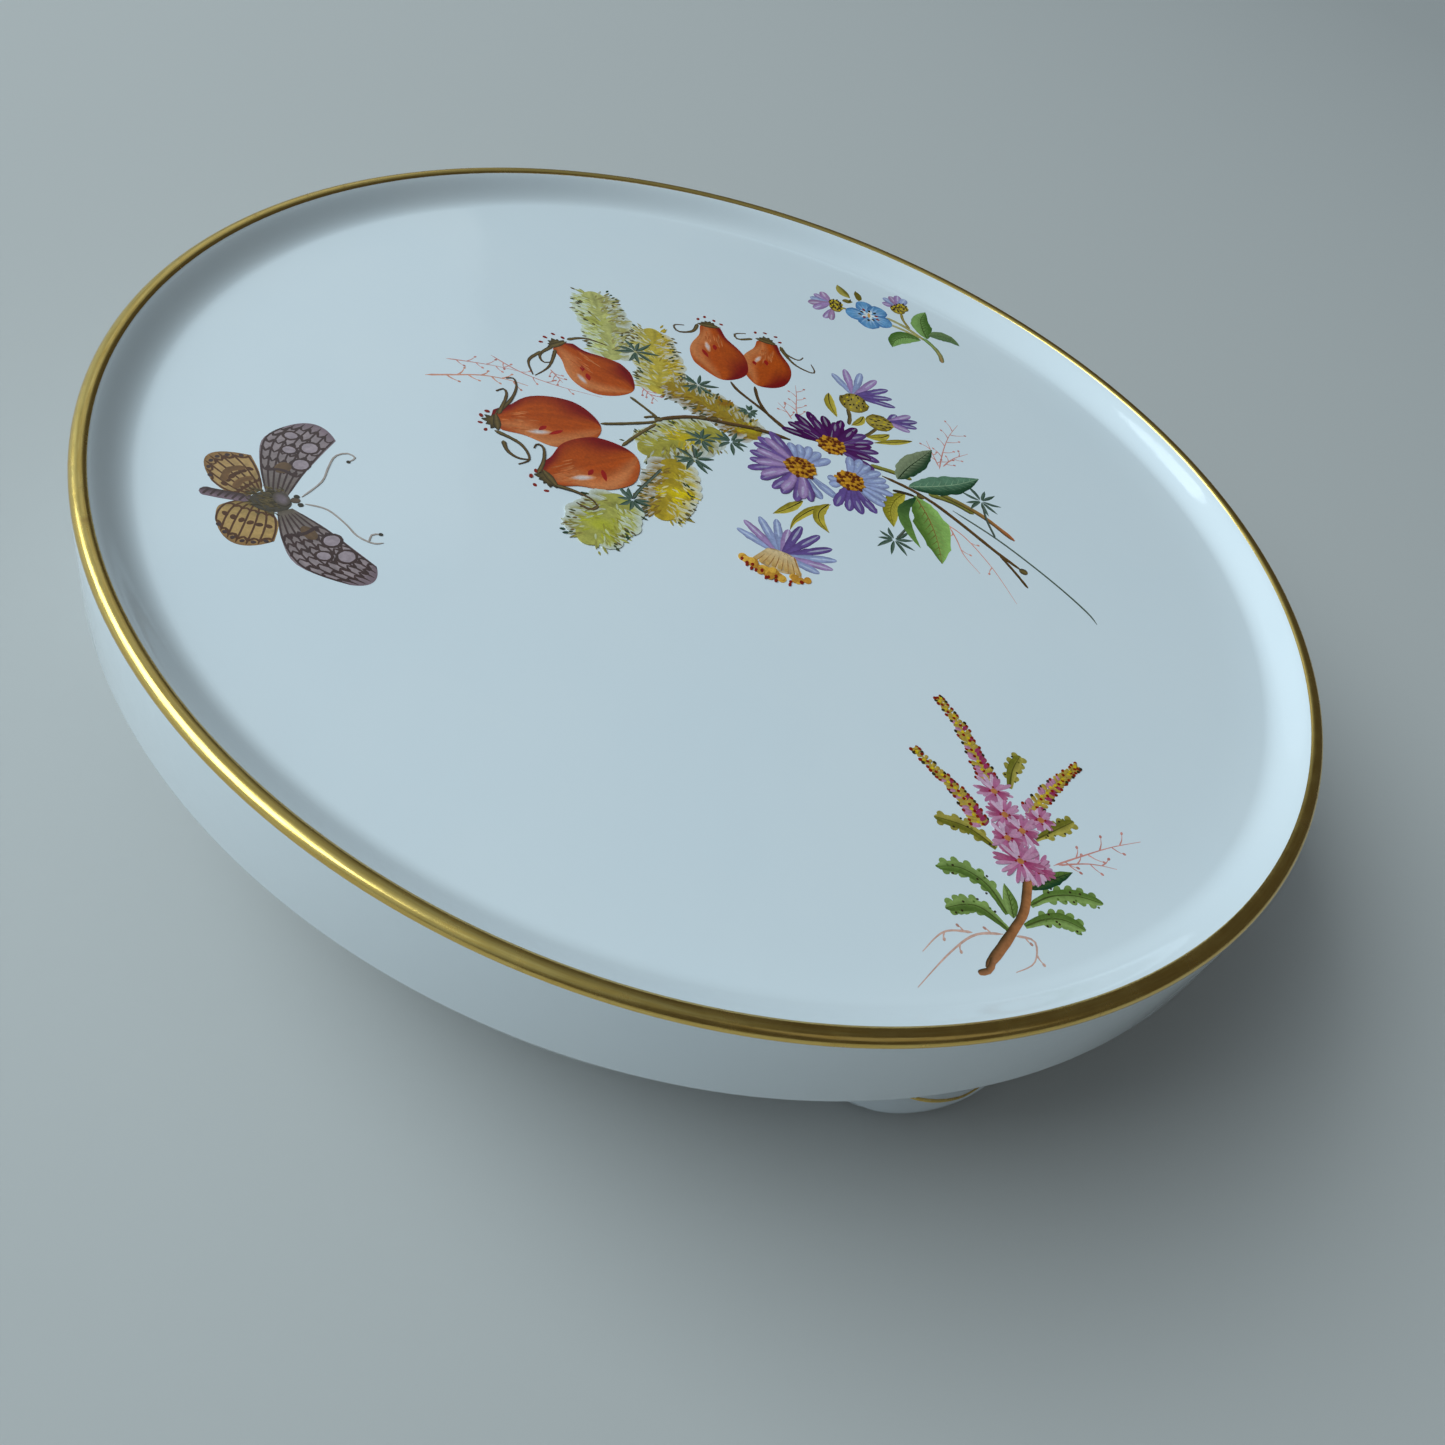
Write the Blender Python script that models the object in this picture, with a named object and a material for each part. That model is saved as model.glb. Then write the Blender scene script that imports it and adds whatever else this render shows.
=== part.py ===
"""Round porcelain trinket box: a gilt-lipped cap lid over a shallow footed body.

Metres, +Z up. The origin is on the standing plane, under the lid's centre.
"""

import math

import bmesh
import bpy
from mathutils import Matrix, Vector

# ---- driving dimensions -------------------------------------------------
LID_RADIUS = 0.0975
BOX_HEIGHT = 0.0470
GAP = 0.0003  # left between two pieces that touch

# lid
SKIRT_HEIGHT = 0.0152
SKIRT_THICKNESS = 0.0033
SKIRT_EDGE_RADIUS = 0.0010
TOP_RECESS = 0.0039
TOP_THICKNESS = 0.0040
TOP_FLAT_RADIUS = 0.0893
COVE_TOP_RADIUS = 0.0951

# gilding on the lid's lip
GILT_THICKNESS = 0.0006
GILT_INNER_RADIUS = 0.09525
GILT_BEAD_RADIUS = 0.0011

# body
NECK_CLEARANCE = 0.0008
WALL = 0.0040
FLOOR_THICKNESS = 0.0045
BELLY_RADIUS = 0.0240
BELLY_HEIGHT = 0.0200
BODY_UNDERSIDE = 0.0090
RIM_EDGE_RADIUS = 0.0010

# feet: a rounded toe, a shallow groove over it, and a knee that runs up the belly
FOOT_AZIMUTHS = {"front": -48.5, "right": 71.5, "left": 191.5}
FOOT_CENTRE = 0.0790
TOE_REACH = 0.01125
TOE_HALF_WIDTH = 0.0192
TOE_HEIGHT = 0.0078
GROOVE_HEIGHT = 0.0090
KNEE_TOP = 0.0250
FOOT_GILT_HALF_ANGLE = 64.0
FOOT_GILT_LOW = 0.0048
FOOT_GILT_HIGH = 0.0100
FOOT_GILT_SIZE = 0.0007

# fineness
TURN_STEPS = 64
RING_SIDES = 24
BELLY_STEPS = 9
FOOT_GILT_STEPS = 16

lid_bottom = BOX_HEIGHT - SKIRT_HEIGHT
lid_underside = BOX_HEIGHT - TOP_RECESS - TOP_THICKNESS
neck_radius = LID_RADIUS - SKIRT_THICKNESS - NECK_CLEARANCE
neck_top = lid_underside - GAP
belly_centre_radius = neck_radius - BELLY_RADIUS
belly_centre_height = BODY_UNDERSIDE + BELLY_HEIGHT


# ---- tools --------------------------------------------------------------
def clear_scene():
    for ob in list(bpy.data.objects):
        bpy.data.objects.remove(ob, do_unlink=True)


def material(name, colour, roughness, metallic=0.0):
    mat = bpy.data.materials.new(name)
    mat.use_nodes = True
    shader = mat.node_tree.nodes["Principled BSDF"]
    shader.inputs["Base Color"].default_value = (*colour, 1.0)
    shader.inputs["Roughness"].default_value = roughness
    shader.inputs["Metallic"].default_value = metallic
    mat.diffuse_color = (*colour, 1.0)
    return mat


def arc(centre, radii, start, end, steps):
    """Points (radius, height) on an elliptical arc; angles in degrees from outward."""
    points = []
    for i in range(steps + 1):
        a = math.radians(start + (end - start) * i / steps)
        points.append((centre[0] + radii[0] * math.cos(a), centre[1] + radii[1] * math.sin(a)))
    return points


def add_object(name, mesh, mat):
    ob = bpy.data.objects.new(name, mesh)
    bpy.context.scene.collection.objects.link(ob)
    mesh.materials.append(mat)
    return ob


def turned(name, outline, mat, closed=False):
    """Turns an outline of (radius, height) about Z. It runs down its outer side."""
    mesh = bpy.data.meshes.new(name)
    last = len(outline) if closed else len(outline) - 1
    edges = [(i, (i + 1) % len(outline)) for i in range(last)]
    mesh.from_pydata([(r, 0.0, z) for r, z in outline], edges, [])
    ob = add_object(name, mesh, mat)
    screw = ob.modifiers.new("turn", "SCREW")
    screw.axis = "Z"
    screw.angle = math.tau
    screw.steps = TURN_STEPS
    screw.render_steps = TURN_STEPS
    screw.use_merge_vertices = True
    screw.merge_threshold = 0.00001
    screw.use_smooth_shade = True
    return ob


def lofted(name, rings, mat):
    """Joins rings of points, lowest first and each anticlockwise from above, and caps the ends."""
    bm = bmesh.new()
    loops = [[bm.verts.new(p) for p in ring] for ring in rings]
    edges = []
    for loop in loops:
        edges.append([bm.edges.new((loop[i], loop[(i + 1) % len(loop)])) for i in range(len(loop))])
    for low, high in zip(edges, edges[1:]):
        bmesh.ops.bridge_loops(bm, edges=low + high)
    bm.faces.new(loops[0])
    bm.faces.new(loops[-1])
    bmesh.ops.recalc_face_normals(bm, faces=bm.faces)
    mesh = bpy.data.meshes.new(name)
    bm.to_mesh(mesh)
    bm.free()
    mesh.shade_smooth()
    mesh.set_sharp_from_angle(angle=math.radians(50))
    return add_object(name, mesh, mat)


def shape_between(stations, height):
    """Reads a smooth width from hand-set (height, width) stations."""
    for (z0, w0), (z1, w1) in zip(stations, stations[1:]):
        if height <= z1:
            t = (height - z0) / (z1 - z0)
            return w0 + (w1 - w0) * t * t * (3.0 - 2.0 * t)
    return stations[-1][1]


# ---- lid ----------------------------------------------------------------
def cove_points(steps=5):
    """The S-shaped rise from the flat top to the lip."""
    low = BOX_HEIGHT - TOP_RECESS
    high = BOX_HEIGHT - GILT_THICKNESS - GAP - 0.0002
    points = []
    for i in range(steps + 1):
        t = i / steps
        rise = t * t * (1.0 + t * (1.0 - t))
        points.append((TOP_FLAT_RADIUS + (COVE_TOP_RADIUS - TOP_FLAT_RADIUS) * t, low + (high - low) * rise))
    return points


def bead_centre():
    return (LID_RADIUS - GILT_BEAD_RADIUS, BOX_HEIGHT - GILT_BEAD_RADIUS)


def make_lid(mat):
    lip_radius = GILT_BEAD_RADIUS - GILT_THICKNESS - GAP
    shoulder = bead_centre()[1] - GAP
    inner = LID_RADIUS - SKIRT_THICKNESS
    edge = SKIRT_EDGE_RADIUS
    outline = [(0.0, BOX_HEIGHT - TOP_RECESS)]
    outline += cove_points()
    outline += arc(bead_centre(), (lip_radius, lip_radius), 90, 0, 3)
    outline += [(bead_centre()[0] + lip_radius, shoulder), (LID_RADIUS, shoulder)]
    outline += arc((LID_RADIUS - edge, lid_bottom + edge), (edge, edge), 0, -90, 3)
    outline += arc((inner + edge, lid_bottom + edge), (edge, edge), -90, -180, 3)[1:]
    outline += [(inner, lid_underside), (0.0, lid_underside)]
    return turned("lid", outline, mat)


def make_lid_gilding(mat):
    centre = bead_centre()
    outer = GILT_BEAD_RADIUS
    inner = outer - GILT_THICKNESS
    dip = 0.0003  # the gilding's inner edge sits this far below the crest
    outline = [(GILT_INNER_RADIUS, BOX_HEIGHT - dip)]
    outline += arc(centre, (outer, outer), 90, 0, 6)
    outline += arc(centre, (inner, inner), 0, 90, 4)
    outline += [(GILT_INNER_RADIUS, BOX_HEIGHT - dip - GILT_THICKNESS)]
    return turned("lid_rim_gilding", outline, mat, closed=True)


# ---- body ---------------------------------------------------------------
def belly(offset, steps):
    """The body's rounded lower side, from the wall down to the underside, moved out by offset."""
    centre = (belly_centre_radius, belly_centre_height)
    return arc(centre, (BELLY_RADIUS + offset, BELLY_HEIGHT + offset), 0, -90, steps)


def make_body(mat):
    floor = BODY_UNDERSIDE + FLOOR_THICKNESS
    edge = RIM_EDGE_RADIUS
    inside = belly(-WALL, 6)[::-1]
    inside = [(r, max(z, floor)) for r, z in inside]
    outline = [(0.0, floor)]
    outline += [p for i, p in enumerate(inside) if i == 0 or p != inside[i - 1]]
    outline += arc((neck_radius - WALL + edge, neck_top - edge), (edge, edge), 180, 90, 3)
    outline += arc((neck_radius - edge, neck_top - edge), (edge, edge), 90, 0, 3)
    outline += belly(0.0, BELLY_STEPS)
    outline += [(0.0, BODY_UNDERSIDE)]
    return turned("box_body", outline, mat)


def make_body_cutter(mat):
    """The body's outside with a gap round it, which the feet are cut back from."""
    outline = [(0.0, neck_top), (neck_radius + GAP, neck_top)] + belly(GAP, BELLY_STEPS)
    outline += [(0.0, BODY_UNDERSIDE - GAP)]
    cutter = turned("body_cutter", outline, mat)
    cutter.hide_render = True
    cutter.display_type = "WIRE"
    return cutter


# ---- feet ---------------------------------------------------------------
# Stations are (height, value): shares of the toe's reach and half width, and a shift outward.
REACH_STATIONS = (
    (0.0, 0.66), (0.0010, 0.84), (0.0040, 1.0), (TOE_HEIGHT, 0.93), (GROOVE_HEIGHT, 0.84),
    (0.0120, 0.90), (0.0170, 0.80), (KNEE_TOP, 0.34),
)
WIDTH_STATIONS = (
    (0.0, 0.74), (0.0010, 0.88), (0.0040, 1.0), (TOE_HEIGHT, 0.90), (GROOVE_HEIGHT, 0.80),
    (0.0120, 0.82), (0.0170, 0.66), (KNEE_TOP, 0.24),
)
SHIFT_STATIONS = ((0.0, 0.0), (GROOVE_HEIGHT, 0.0), (KNEE_TOP, 0.0088))
RING_HEIGHTS = (
    0.0, 0.0004, 0.0014, 0.0032, 0.0055, TOE_HEIGHT, GROOVE_HEIGHT,
    0.0102, 0.0120, 0.0145, 0.0175, 0.0210, KNEE_TOP,
)


def foot_frame(azimuth):
    return Matrix.Rotation(math.radians(azimuth), 4, "Z")


def foot_ring(height, grow=0.0):
    """One level of a foot that points along +X."""
    reach = TOE_REACH * shape_between(REACH_STATIONS, height) + grow
    half = TOE_HALF_WIDTH * shape_between(WIDTH_STATIONS, height) + grow
    centre = FOOT_CENTRE + shape_between(SHIFT_STATIONS, height)
    ring = []
    for i in range(RING_SIDES):
        a = math.tau * i / RING_SIDES
        ring.append(Vector((centre + reach * math.cos(a), half * math.sin(a), height)))
    return ring


def make_foot(place, azimuth, mat, cutter):
    turn = foot_frame(azimuth)
    rings = [[turn @ p for p in foot_ring(z)] for z in RING_HEIGHTS]
    foot = lofted("foot_" + place, rings, mat)
    cut = foot.modifiers.new("seat", "BOOLEAN")
    cut.operation = "DIFFERENCE"
    cut.solver = "EXACT"
    cut.object = cutter
    return foot


def gilt_height(share):
    """The gilt line is lowest at the foot's middle, share 0, and curls up to both sides."""
    return FOOT_GILT_LOW + (FOOT_GILT_HIGH - FOOT_GILT_LOW) * abs(share) ** 1.3


def make_foot_gilding(place, azimuth, mat):
    """A thin gilt line that hangs like a swag over the front of a foot."""
    turn = foot_frame(azimuth)
    half = FOOT_GILT_SIZE / 2
    rings = []
    for i in range(FOOT_GILT_STEPS + 1):
        share = 2 * i / FOOT_GILT_STEPS - 1
        a = math.radians(FOOT_GILT_HALF_ANGLE * share)
        ring = []
        for out, up in ((-half, -half), (half, -half), (half, half), (-half, half)):
            height = gilt_height(share) + up
            grow = GAP + half + out
            reach = TOE_REACH * shape_between(REACH_STATIONS, height) + grow
            width = TOE_HALF_WIDTH * shape_between(WIDTH_STATIONS, height) + grow
            ring.append(turn @ Vector((FOOT_CENTRE + reach * math.cos(a), width * math.sin(a), height)))
        rings.append(ring)
    return lofted("foot_" + place + "_gilding", rings, mat)


def main():
    clear_scene()
    porcelain = (0.80, 0.83, 0.86)
    gold = (0.78, 0.55, 0.20)
    cutter = make_body_cutter(material("guide", (0.5, 0.5, 0.5), 0.5))
    make_lid(material("lid_porcelain", porcelain, 0.10))
    make_lid_gilding(material("lid_gold", gold, 0.22, 1.0))
    make_body(material("body_porcelain", porcelain, 0.12))
    for place, azimuth in FOOT_AZIMUTHS.items():
        make_foot(place, azimuth, material("foot_porcelain_" + place, porcelain, 0.12), cutter)
        make_foot_gilding(place, azimuth, material("foot_gold_" + place, gold, 0.25, 1.0))


main()
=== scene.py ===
"""The looks of a round porcelain trinket box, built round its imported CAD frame."""

import math

import bmesh
import bpy
import numpy as np
from mathutils import Matrix, Vector


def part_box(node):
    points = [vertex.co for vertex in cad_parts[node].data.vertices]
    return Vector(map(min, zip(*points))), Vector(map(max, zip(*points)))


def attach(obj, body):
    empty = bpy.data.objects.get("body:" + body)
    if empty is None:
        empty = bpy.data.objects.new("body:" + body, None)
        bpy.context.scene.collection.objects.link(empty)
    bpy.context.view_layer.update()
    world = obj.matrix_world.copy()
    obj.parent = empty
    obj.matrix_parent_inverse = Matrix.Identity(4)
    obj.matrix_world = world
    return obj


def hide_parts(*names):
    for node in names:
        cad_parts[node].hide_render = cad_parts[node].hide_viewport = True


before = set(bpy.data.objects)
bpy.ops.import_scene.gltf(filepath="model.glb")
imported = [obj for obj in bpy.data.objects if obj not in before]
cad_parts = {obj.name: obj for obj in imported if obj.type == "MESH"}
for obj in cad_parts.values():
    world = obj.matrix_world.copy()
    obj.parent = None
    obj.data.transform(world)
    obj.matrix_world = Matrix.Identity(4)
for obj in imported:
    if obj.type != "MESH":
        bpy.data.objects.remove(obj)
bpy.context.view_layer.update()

# ---- sizes read from the frame ---------------------------------------------
lid_low, lid_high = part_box("lid")
rim_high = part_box("lid_rim_gilding")[1]
RADIUS = rim_high[0]
CREST = rim_high[2]
BEAD = 0.0011  # the radius of the lip's outer edge


# ---- camera ----------------------------------------------------------------
CAMERA_PLACE = (0.0, -1.6934, 1.1627)  # in lid radii from the centre of the gilt line's lower edge
CAMERA_HEADING = -3.354  # degrees, left positive from +Y
CAMERA_DROP = 45.254
CAMERA_ROLL = 22.501
CAMERA_LENS = 30.667
LIP_LINE = CREST - BEAD


def place_object(name, data):
    """A new object in the scene, from a mesh, a light or a camera."""
    ob = bpy.data.objects.new(name, data)
    bpy.context.scene.collection.objects.link(ob)
    return ob


def make_camera():
    data = bpy.data.cameras.new("camera")
    data.sensor_width = 36.0
    data.lens = CAMERA_LENS
    data.clip_start = 0.005
    ob = place_object("camera", data)
    place = Vector(CAMERA_PLACE) * RADIUS + Vector((0.0, 0.0, LIP_LINE))
    turn = (
        Matrix.Rotation(math.radians(CAMERA_HEADING), 4, "Z")
        @ Matrix.Rotation(math.radians(90.0 - CAMERA_DROP), 4, "X")
        @ Matrix.Rotation(math.radians(CAMERA_ROLL), 4, "Z")
    )
    ob.matrix_world = Matrix.Translation(place) @ turn
    bpy.context.scene.camera = ob


make_camera()


# ---- node materials --------------------------------------------------------
class Shader:
    """A Principled material with short calls for adding and joining nodes."""

    def __init__(self, name, colour, roughness, metallic=0.0):
        self.material = bpy.data.materials.new(name)
        self.material.use_nodes = True
        self.tree = self.material.node_tree
        self.main = self.tree.nodes["Principled BSDF"]
        self.main.inputs["Base Color"].default_value = (*colour, 1.0)
        self.main.inputs["Roughness"].default_value = roughness
        self.main.inputs["Metallic"].default_value = metallic
        self.material.diffuse_color = (*colour, 1.0)

    def add(self, kind, **settings):
        node = self.tree.nodes.new(kind)
        for key, value in settings.items():
            setattr(node, key, value)
        return node

    def join(self, source, target):
        self.tree.links.new(source, target)

    def noise(self, vector, scale, detail=2.0, roughness=0.5):
        """Noise with scale waves to the metre."""
        node = self.add("ShaderNodeTexNoise")
        node.inputs["Scale"].default_value = scale
        node.inputs["Detail"].default_value = detail
        node.inputs["Roughness"].default_value = roughness
        self.join(vector, node.inputs["Vector"])
        return node.outputs["Fac"]

    def spread(self, value, low, high, to_low=0.0, to_high=1.0):
        node = self.add("ShaderNodeMapRange")
        self.join(value, node.inputs["Value"])
        node.inputs["From Min"].default_value = low
        node.inputs["From Max"].default_value = high
        node.inputs["To Min"].default_value = to_low
        node.inputs["To Max"].default_value = to_high
        return node.outputs["Result"]

    def mix(self, factor, first, second):
        node = self.add("ShaderNodeMix", data_type="RGBA")
        for value, socket in ((factor, node.inputs[0]), (first, node.inputs[6]), (second, node.inputs[7])):
            if isinstance(value, (int, float)):
                socket.default_value = value
            elif isinstance(value, tuple):
                socket.default_value = (*value, 1.0)
            else:
                self.join(value, socket)
        return node.outputs[2]

    def bump(self, height, strength, distance):
        node = self.add("ShaderNodeBump")
        node.inputs["Strength"].default_value = strength
        node.inputs["Distance"].default_value = distance
        self.join(height, node.inputs["Height"])
        return node.outputs["Normal"]

    def place(self):
        """Object coordinates, in metres."""
        return self.add("ShaderNodeTexCoord").outputs["Object"]


LIT = (185, 203, 216)  # how the porcelain looks on the lid, for matching the enamels to it
PORCELAIN = (0.78, 0.83, 0.86)
PORCELAIN_CLOUD = (0.765, 0.822, 0.858)
UNGLAZED = (0.80, 0.80, 0.77)
UNGLAZED_ROUGHNESS = 0.6
GOLD = (0.82, 0.56, 0.17)
GOLD_DEEP = (0.76, 0.49, 0.12)
GOLD_BRIGHT = (0.87, 0.62, 0.20)
GOLD_WORN = (0.50, 0.27, 0.08)
GLAZE_RIPPLE = 0.000010  # metres
GOLD_RIPPLE = 0.00002  # metres
STREAK_STRETCH = 0.004  # metres for each radian of the way round, so that streaks run along the rim
GLOSS = 0.013  # the share of every colour that is light mirrored by the glaze


def glaze_bump(s, where):
    """The faint orange-peel of a fired glaze, a few micrometres high."""
    ripple = s.noise(where, 520.0, 2.0, 0.55)
    swell = s.noise(where, 110.0, 1.0)
    height = s.add("ShaderNodeMath", operation="MULTIPLY_ADD")
    s.join(swell, height.inputs[0])
    height.inputs[1].default_value = 3.0
    s.join(ripple, height.inputs[2])
    return s.bump(height.outputs[0], 1.0, GLAZE_RIPPLE)


def porcelain(name, bare=None):
    """Glazed white porcelain; bare is (from, to), heights between which the rim is left unglazed."""
    s = Shader(name, PORCELAIN, 0.07)
    where = s.place()
    cloud = s.spread(s.noise(where, 34.0, 3.0), 0.35, 0.65)
    colour = s.mix(cloud, PORCELAIN, PORCELAIN_CLOUD)
    rough = s.spread(s.noise(where, 90.0, 4.0, 0.6), 0.3, 0.75, 0.05, 0.11)
    if bare:
        height = s.add("ShaderNodeSeparateXYZ")
        s.join(where, height.inputs[0])
        raw = s.spread(height.outputs["Z"], *bare)
        colour = s.mix(raw, colour, UNGLAZED)
        mixer = s.add("ShaderNodeMix", data_type="FLOAT")
        s.join(raw, mixer.inputs[0])
        s.join(rough, mixer.inputs[2])
        mixer.inputs[3].default_value = UNGLAZED_ROUGHNESS
        rough = mixer.outputs[0]
    s.join(colour, s.main.inputs["Base Color"])
    s.join(rough, s.main.inputs["Roughness"])
    s.join(glaze_bump(s, where), s.main.inputs["Normal"])
    return s.material


def enamels(name):
    """The painting's colours, under the same glaze, with pigment that varies a little as it dries."""
    s = Shader(name, PORCELAIN, 0.09)
    where = s.place()
    paint = s.add("ShaderNodeAttribute", attribute_name="enamel")
    grain = s.spread(s.noise(where, 2400.0, 3.0, 0.6), 0.3, 0.7, 0.84, 1.12)
    pool = s.spread(s.noise(where, 700.0, 2.0), 0.3, 0.7, 0.93, 1.06)
    tone = s.add("ShaderNodeMath", operation="MULTIPLY")
    s.join(grain, tone.inputs[0])
    s.join(pool, tone.inputs[1])
    colour = s.add("ShaderNodeVectorMath", operation="SCALE")
    s.join(paint.outputs["Color"], colour.inputs[0])
    s.join(tone.outputs[0], colour.inputs["Scale"])
    s.join(colour.outputs[0], s.main.inputs["Base Color"])
    s.join(s.spread(grain, 0.84, 1.12, 0.12, 0.07), s.main.inputs["Roughness"])
    s.join(glaze_bump(s, where), s.main.inputs["Normal"])
    return s.material


def gilding(name):
    """Burnished gold: streaks along the rim from the burnisher, and thin worn patches."""
    s = Shader(name, GOLD, 0.2, 1.0)
    where = s.place()
    split = s.add("ShaderNodeSeparateXYZ")
    s.join(where, split.inputs[0])
    turn = s.add("ShaderNodeMath", operation="ARCTAN2")
    s.join(split.outputs["Y"], turn.inputs[0])
    s.join(split.outputs["X"], turn.inputs[1])
    flat = s.add("ShaderNodeVectorMath", operation="LENGTH")
    plan = s.add("ShaderNodeCombineXYZ")
    s.join(split.outputs["X"], plan.inputs["X"])
    s.join(split.outputs["Y"], plan.inputs["Y"])
    s.join(plan.outputs[0], flat.inputs[0])
    around = s.add("ShaderNodeMath", operation="MULTIPLY")
    s.join(turn.outputs[0], around.inputs[0])
    around.inputs[1].default_value = STREAK_STRETCH
    streaks = s.add("ShaderNodeCombineXYZ")
    s.join(around.outputs[0], streaks.inputs["X"])
    s.join(flat.outputs["Value"], streaks.inputs["Y"])
    s.join(split.outputs["Z"], streaks.inputs["Z"])
    brush = s.noise(streaks.outputs[0], 5200.0, 3.0, 0.6)
    cloud = s.noise(where, 260.0, 4.0, 0.6)
    colour = s.mix(s.spread(brush, 0.3, 0.7), GOLD_DEEP, GOLD_BRIGHT)
    colour = s.mix(s.spread(cloud, 0.60, 0.74, 0.0, 0.45), colour, GOLD_WORN)
    s.join(colour, s.main.inputs["Base Color"])
    s.join(s.spread(cloud, 0.3, 0.7, 0.15, 0.30), s.main.inputs["Roughness"])
    height = s.add("ShaderNodeMath", operation="ADD")
    s.join(brush, height.inputs[0])
    s.join(cloud, height.inputs[1])
    s.join(s.bump(height.outputs[0], 0.5, GOLD_RIPPLE), s.main.inputs["Normal"])
    return s.material


# ---- turned pieces ---------------------------------------------------------
def smooth_piece(mesh, material, crease=60.0):
    """A smooth object from a mesh, sharp only where its faces turn by more than crease degrees."""
    mesh.materials.append(material)
    mesh.shade_smooth()
    mesh.set_sharp_from_angle(angle=math.radians(crease))
    return place_object(mesh.name, mesh)


def smooth_curve(points, steps):
    """A Catmull-Rom curve through given points, each a tuple of any length."""
    p = np.array([points[0], *points, points[-1]], float)
    out = []
    for i in range(1, len(p) - 2):
        for k in range(steps):
            t = k / steps
            out.append(
                0.5 * (
                    2 * p[i] + (p[i + 1] - p[i - 1]) * t
                    + (2 * p[i - 1] - 5 * p[i] + 4 * p[i + 1] - p[i + 2]) * t * t
                    + (3 * p[i] - p[i - 1] - 3 * p[i + 1] + p[i + 2]) * t ** 3
                )
            )
    out.append(p[-2])
    return np.array(out)


def arc(centre, radii, start, end, steps):
    """Points (radius, height) on an elliptical arc; angles in degrees from outward."""
    angles = np.radians(np.linspace(start, end, steps + 1))
    return [(centre[0] + radii[0] * math.cos(a), centre[1] + radii[1] * math.sin(a)) for a in angles]


def turned(name, outline, material, closed=False):
    """An outline of (radius, height), running down the piece's outer side, turned about Z."""
    steps = 256
    outline = [(max(r, 0.0), z) for r, z in outline]
    angles = np.linspace(0.0, math.tau, steps, endpoint=False)
    points, rows = [], []
    for r, z in outline:
        if r < 1e-7:
            rows.append([len(points)] * steps)
            points.append((0.0, 0.0, z))
        else:
            rows.append(list(range(len(points), len(points) + steps)))
            points += [(r * math.cos(a), r * math.sin(a), z) for a in angles]
    pairs = list(zip(rows, rows[1:]))
    if closed:
        pairs.append((rows[-1], rows[0]))
    faces = []
    for high, low in pairs:
        for i in range(steps):
            j = (i + 1) % steps
            face = [high[i], low[i], low[j], high[j]]
            kept = [v for k, v in enumerate(face) if v not in face[:k]]
            if len(kept) > 2:
                faces.append(kept)
    mesh = bpy.data.meshes.new(name)
    mesh.from_pydata(points, [], faces)
    return smooth_piece(mesh, material)


# ---- lid -------------------------------------------------------------------
TOP_RECESS = 0.0039
FLAT_RADIUS = 0.0893
GILT_INNER = 0.09525
GILT_DROP = 0.0003  # how far the gilding's inner edge lies below the crest
SKIRT_THICKNESS = 0.0033
TOP_THICKNESS = 0.0040
EDGE = 0.0011
GILT_FILM = 0.00004
TOP = CREST - TOP_RECESS


def lip_outline():
    """The gilt lip, from its inner edge over the crest to the wall."""
    centre = (RADIUS - BEAD, CREST - BEAD)
    inner = [(GILT_INNER, CREST - GILT_DROP), (GILT_INNER + 0.0005, CREST - 0.00007)]
    return inner + arc(centre, (BEAD, BEAD), 90, 0, 8)


def make_lid():
    bottom = lid_low[2]
    inner = RADIUS - SKIRT_THICKNESS
    outline = [(0.0, TOP)] + [(FLAT_RADIUS * k / 12, TOP) for k in range(1, 12)]
    rise = CREST - GILT_DROP - TOP
    run = GILT_INNER - FLAT_RADIUS
    for i in range(13):
        t = i / 12
        outline.append((FLAT_RADIUS + run * t, TOP + rise * t * t * (1.0 + t * (1.0 - t))))
    outline += lip_outline()[1:]
    outline += arc((RADIUS - EDGE, bottom + EDGE), (EDGE, EDGE), 0, -90, 6)
    outline += arc((inner + EDGE, bottom + EDGE), (EDGE, EDGE), -90, -180, 6)
    outline += [(inner, lid_high[2] - 0.006), (inner - 0.0008, TOP - TOP_THICKNESS),
                (0.0, TOP - TOP_THICKNESS)]
    lid = turned("lid_porcelain", outline, porcelain("lid_porcelain"))
    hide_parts("lid")
    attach(lid, "lid")


def make_rim():
    outer = [(r, z + GILT_FILM) for r, z in lip_outline()[:-1]] + [(RADIUS, CREST - BEAD)]
    under = [(r - 0.0001, z - 0.0003) for r, z in lip_outline()][::-1]
    rim = turned("lip_gilding", outer + under, gilding("lip_gold"), closed=True)
    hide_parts("lid_rim_gilding")
    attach(rim, "lid")


# ---- body ------------------------------------------------------------------
body_low, body_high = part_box("box_body")
WALL = 0.0040
FLOOR_THICKNESS = 0.0045
BELLY_RADIUS = 0.0240
BELLY_HEIGHT = 0.0200
RIM_EDGE = 0.0010
FLOOR_RING = 0.04
NECK = body_high[0]
UNDERSIDE = body_low[2]
BELLY_CENTRE = (NECK - BELLY_RADIUS, UNDERSIDE + BELLY_HEIGHT)


def belly(offset, steps):
    """The body's rounded lower side, from the wall down to the underside, moved out by offset."""
    return arc(BELLY_CENTRE, (BELLY_RADIUS + offset, BELLY_HEIGHT + offset), 0, -90, steps)


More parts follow.
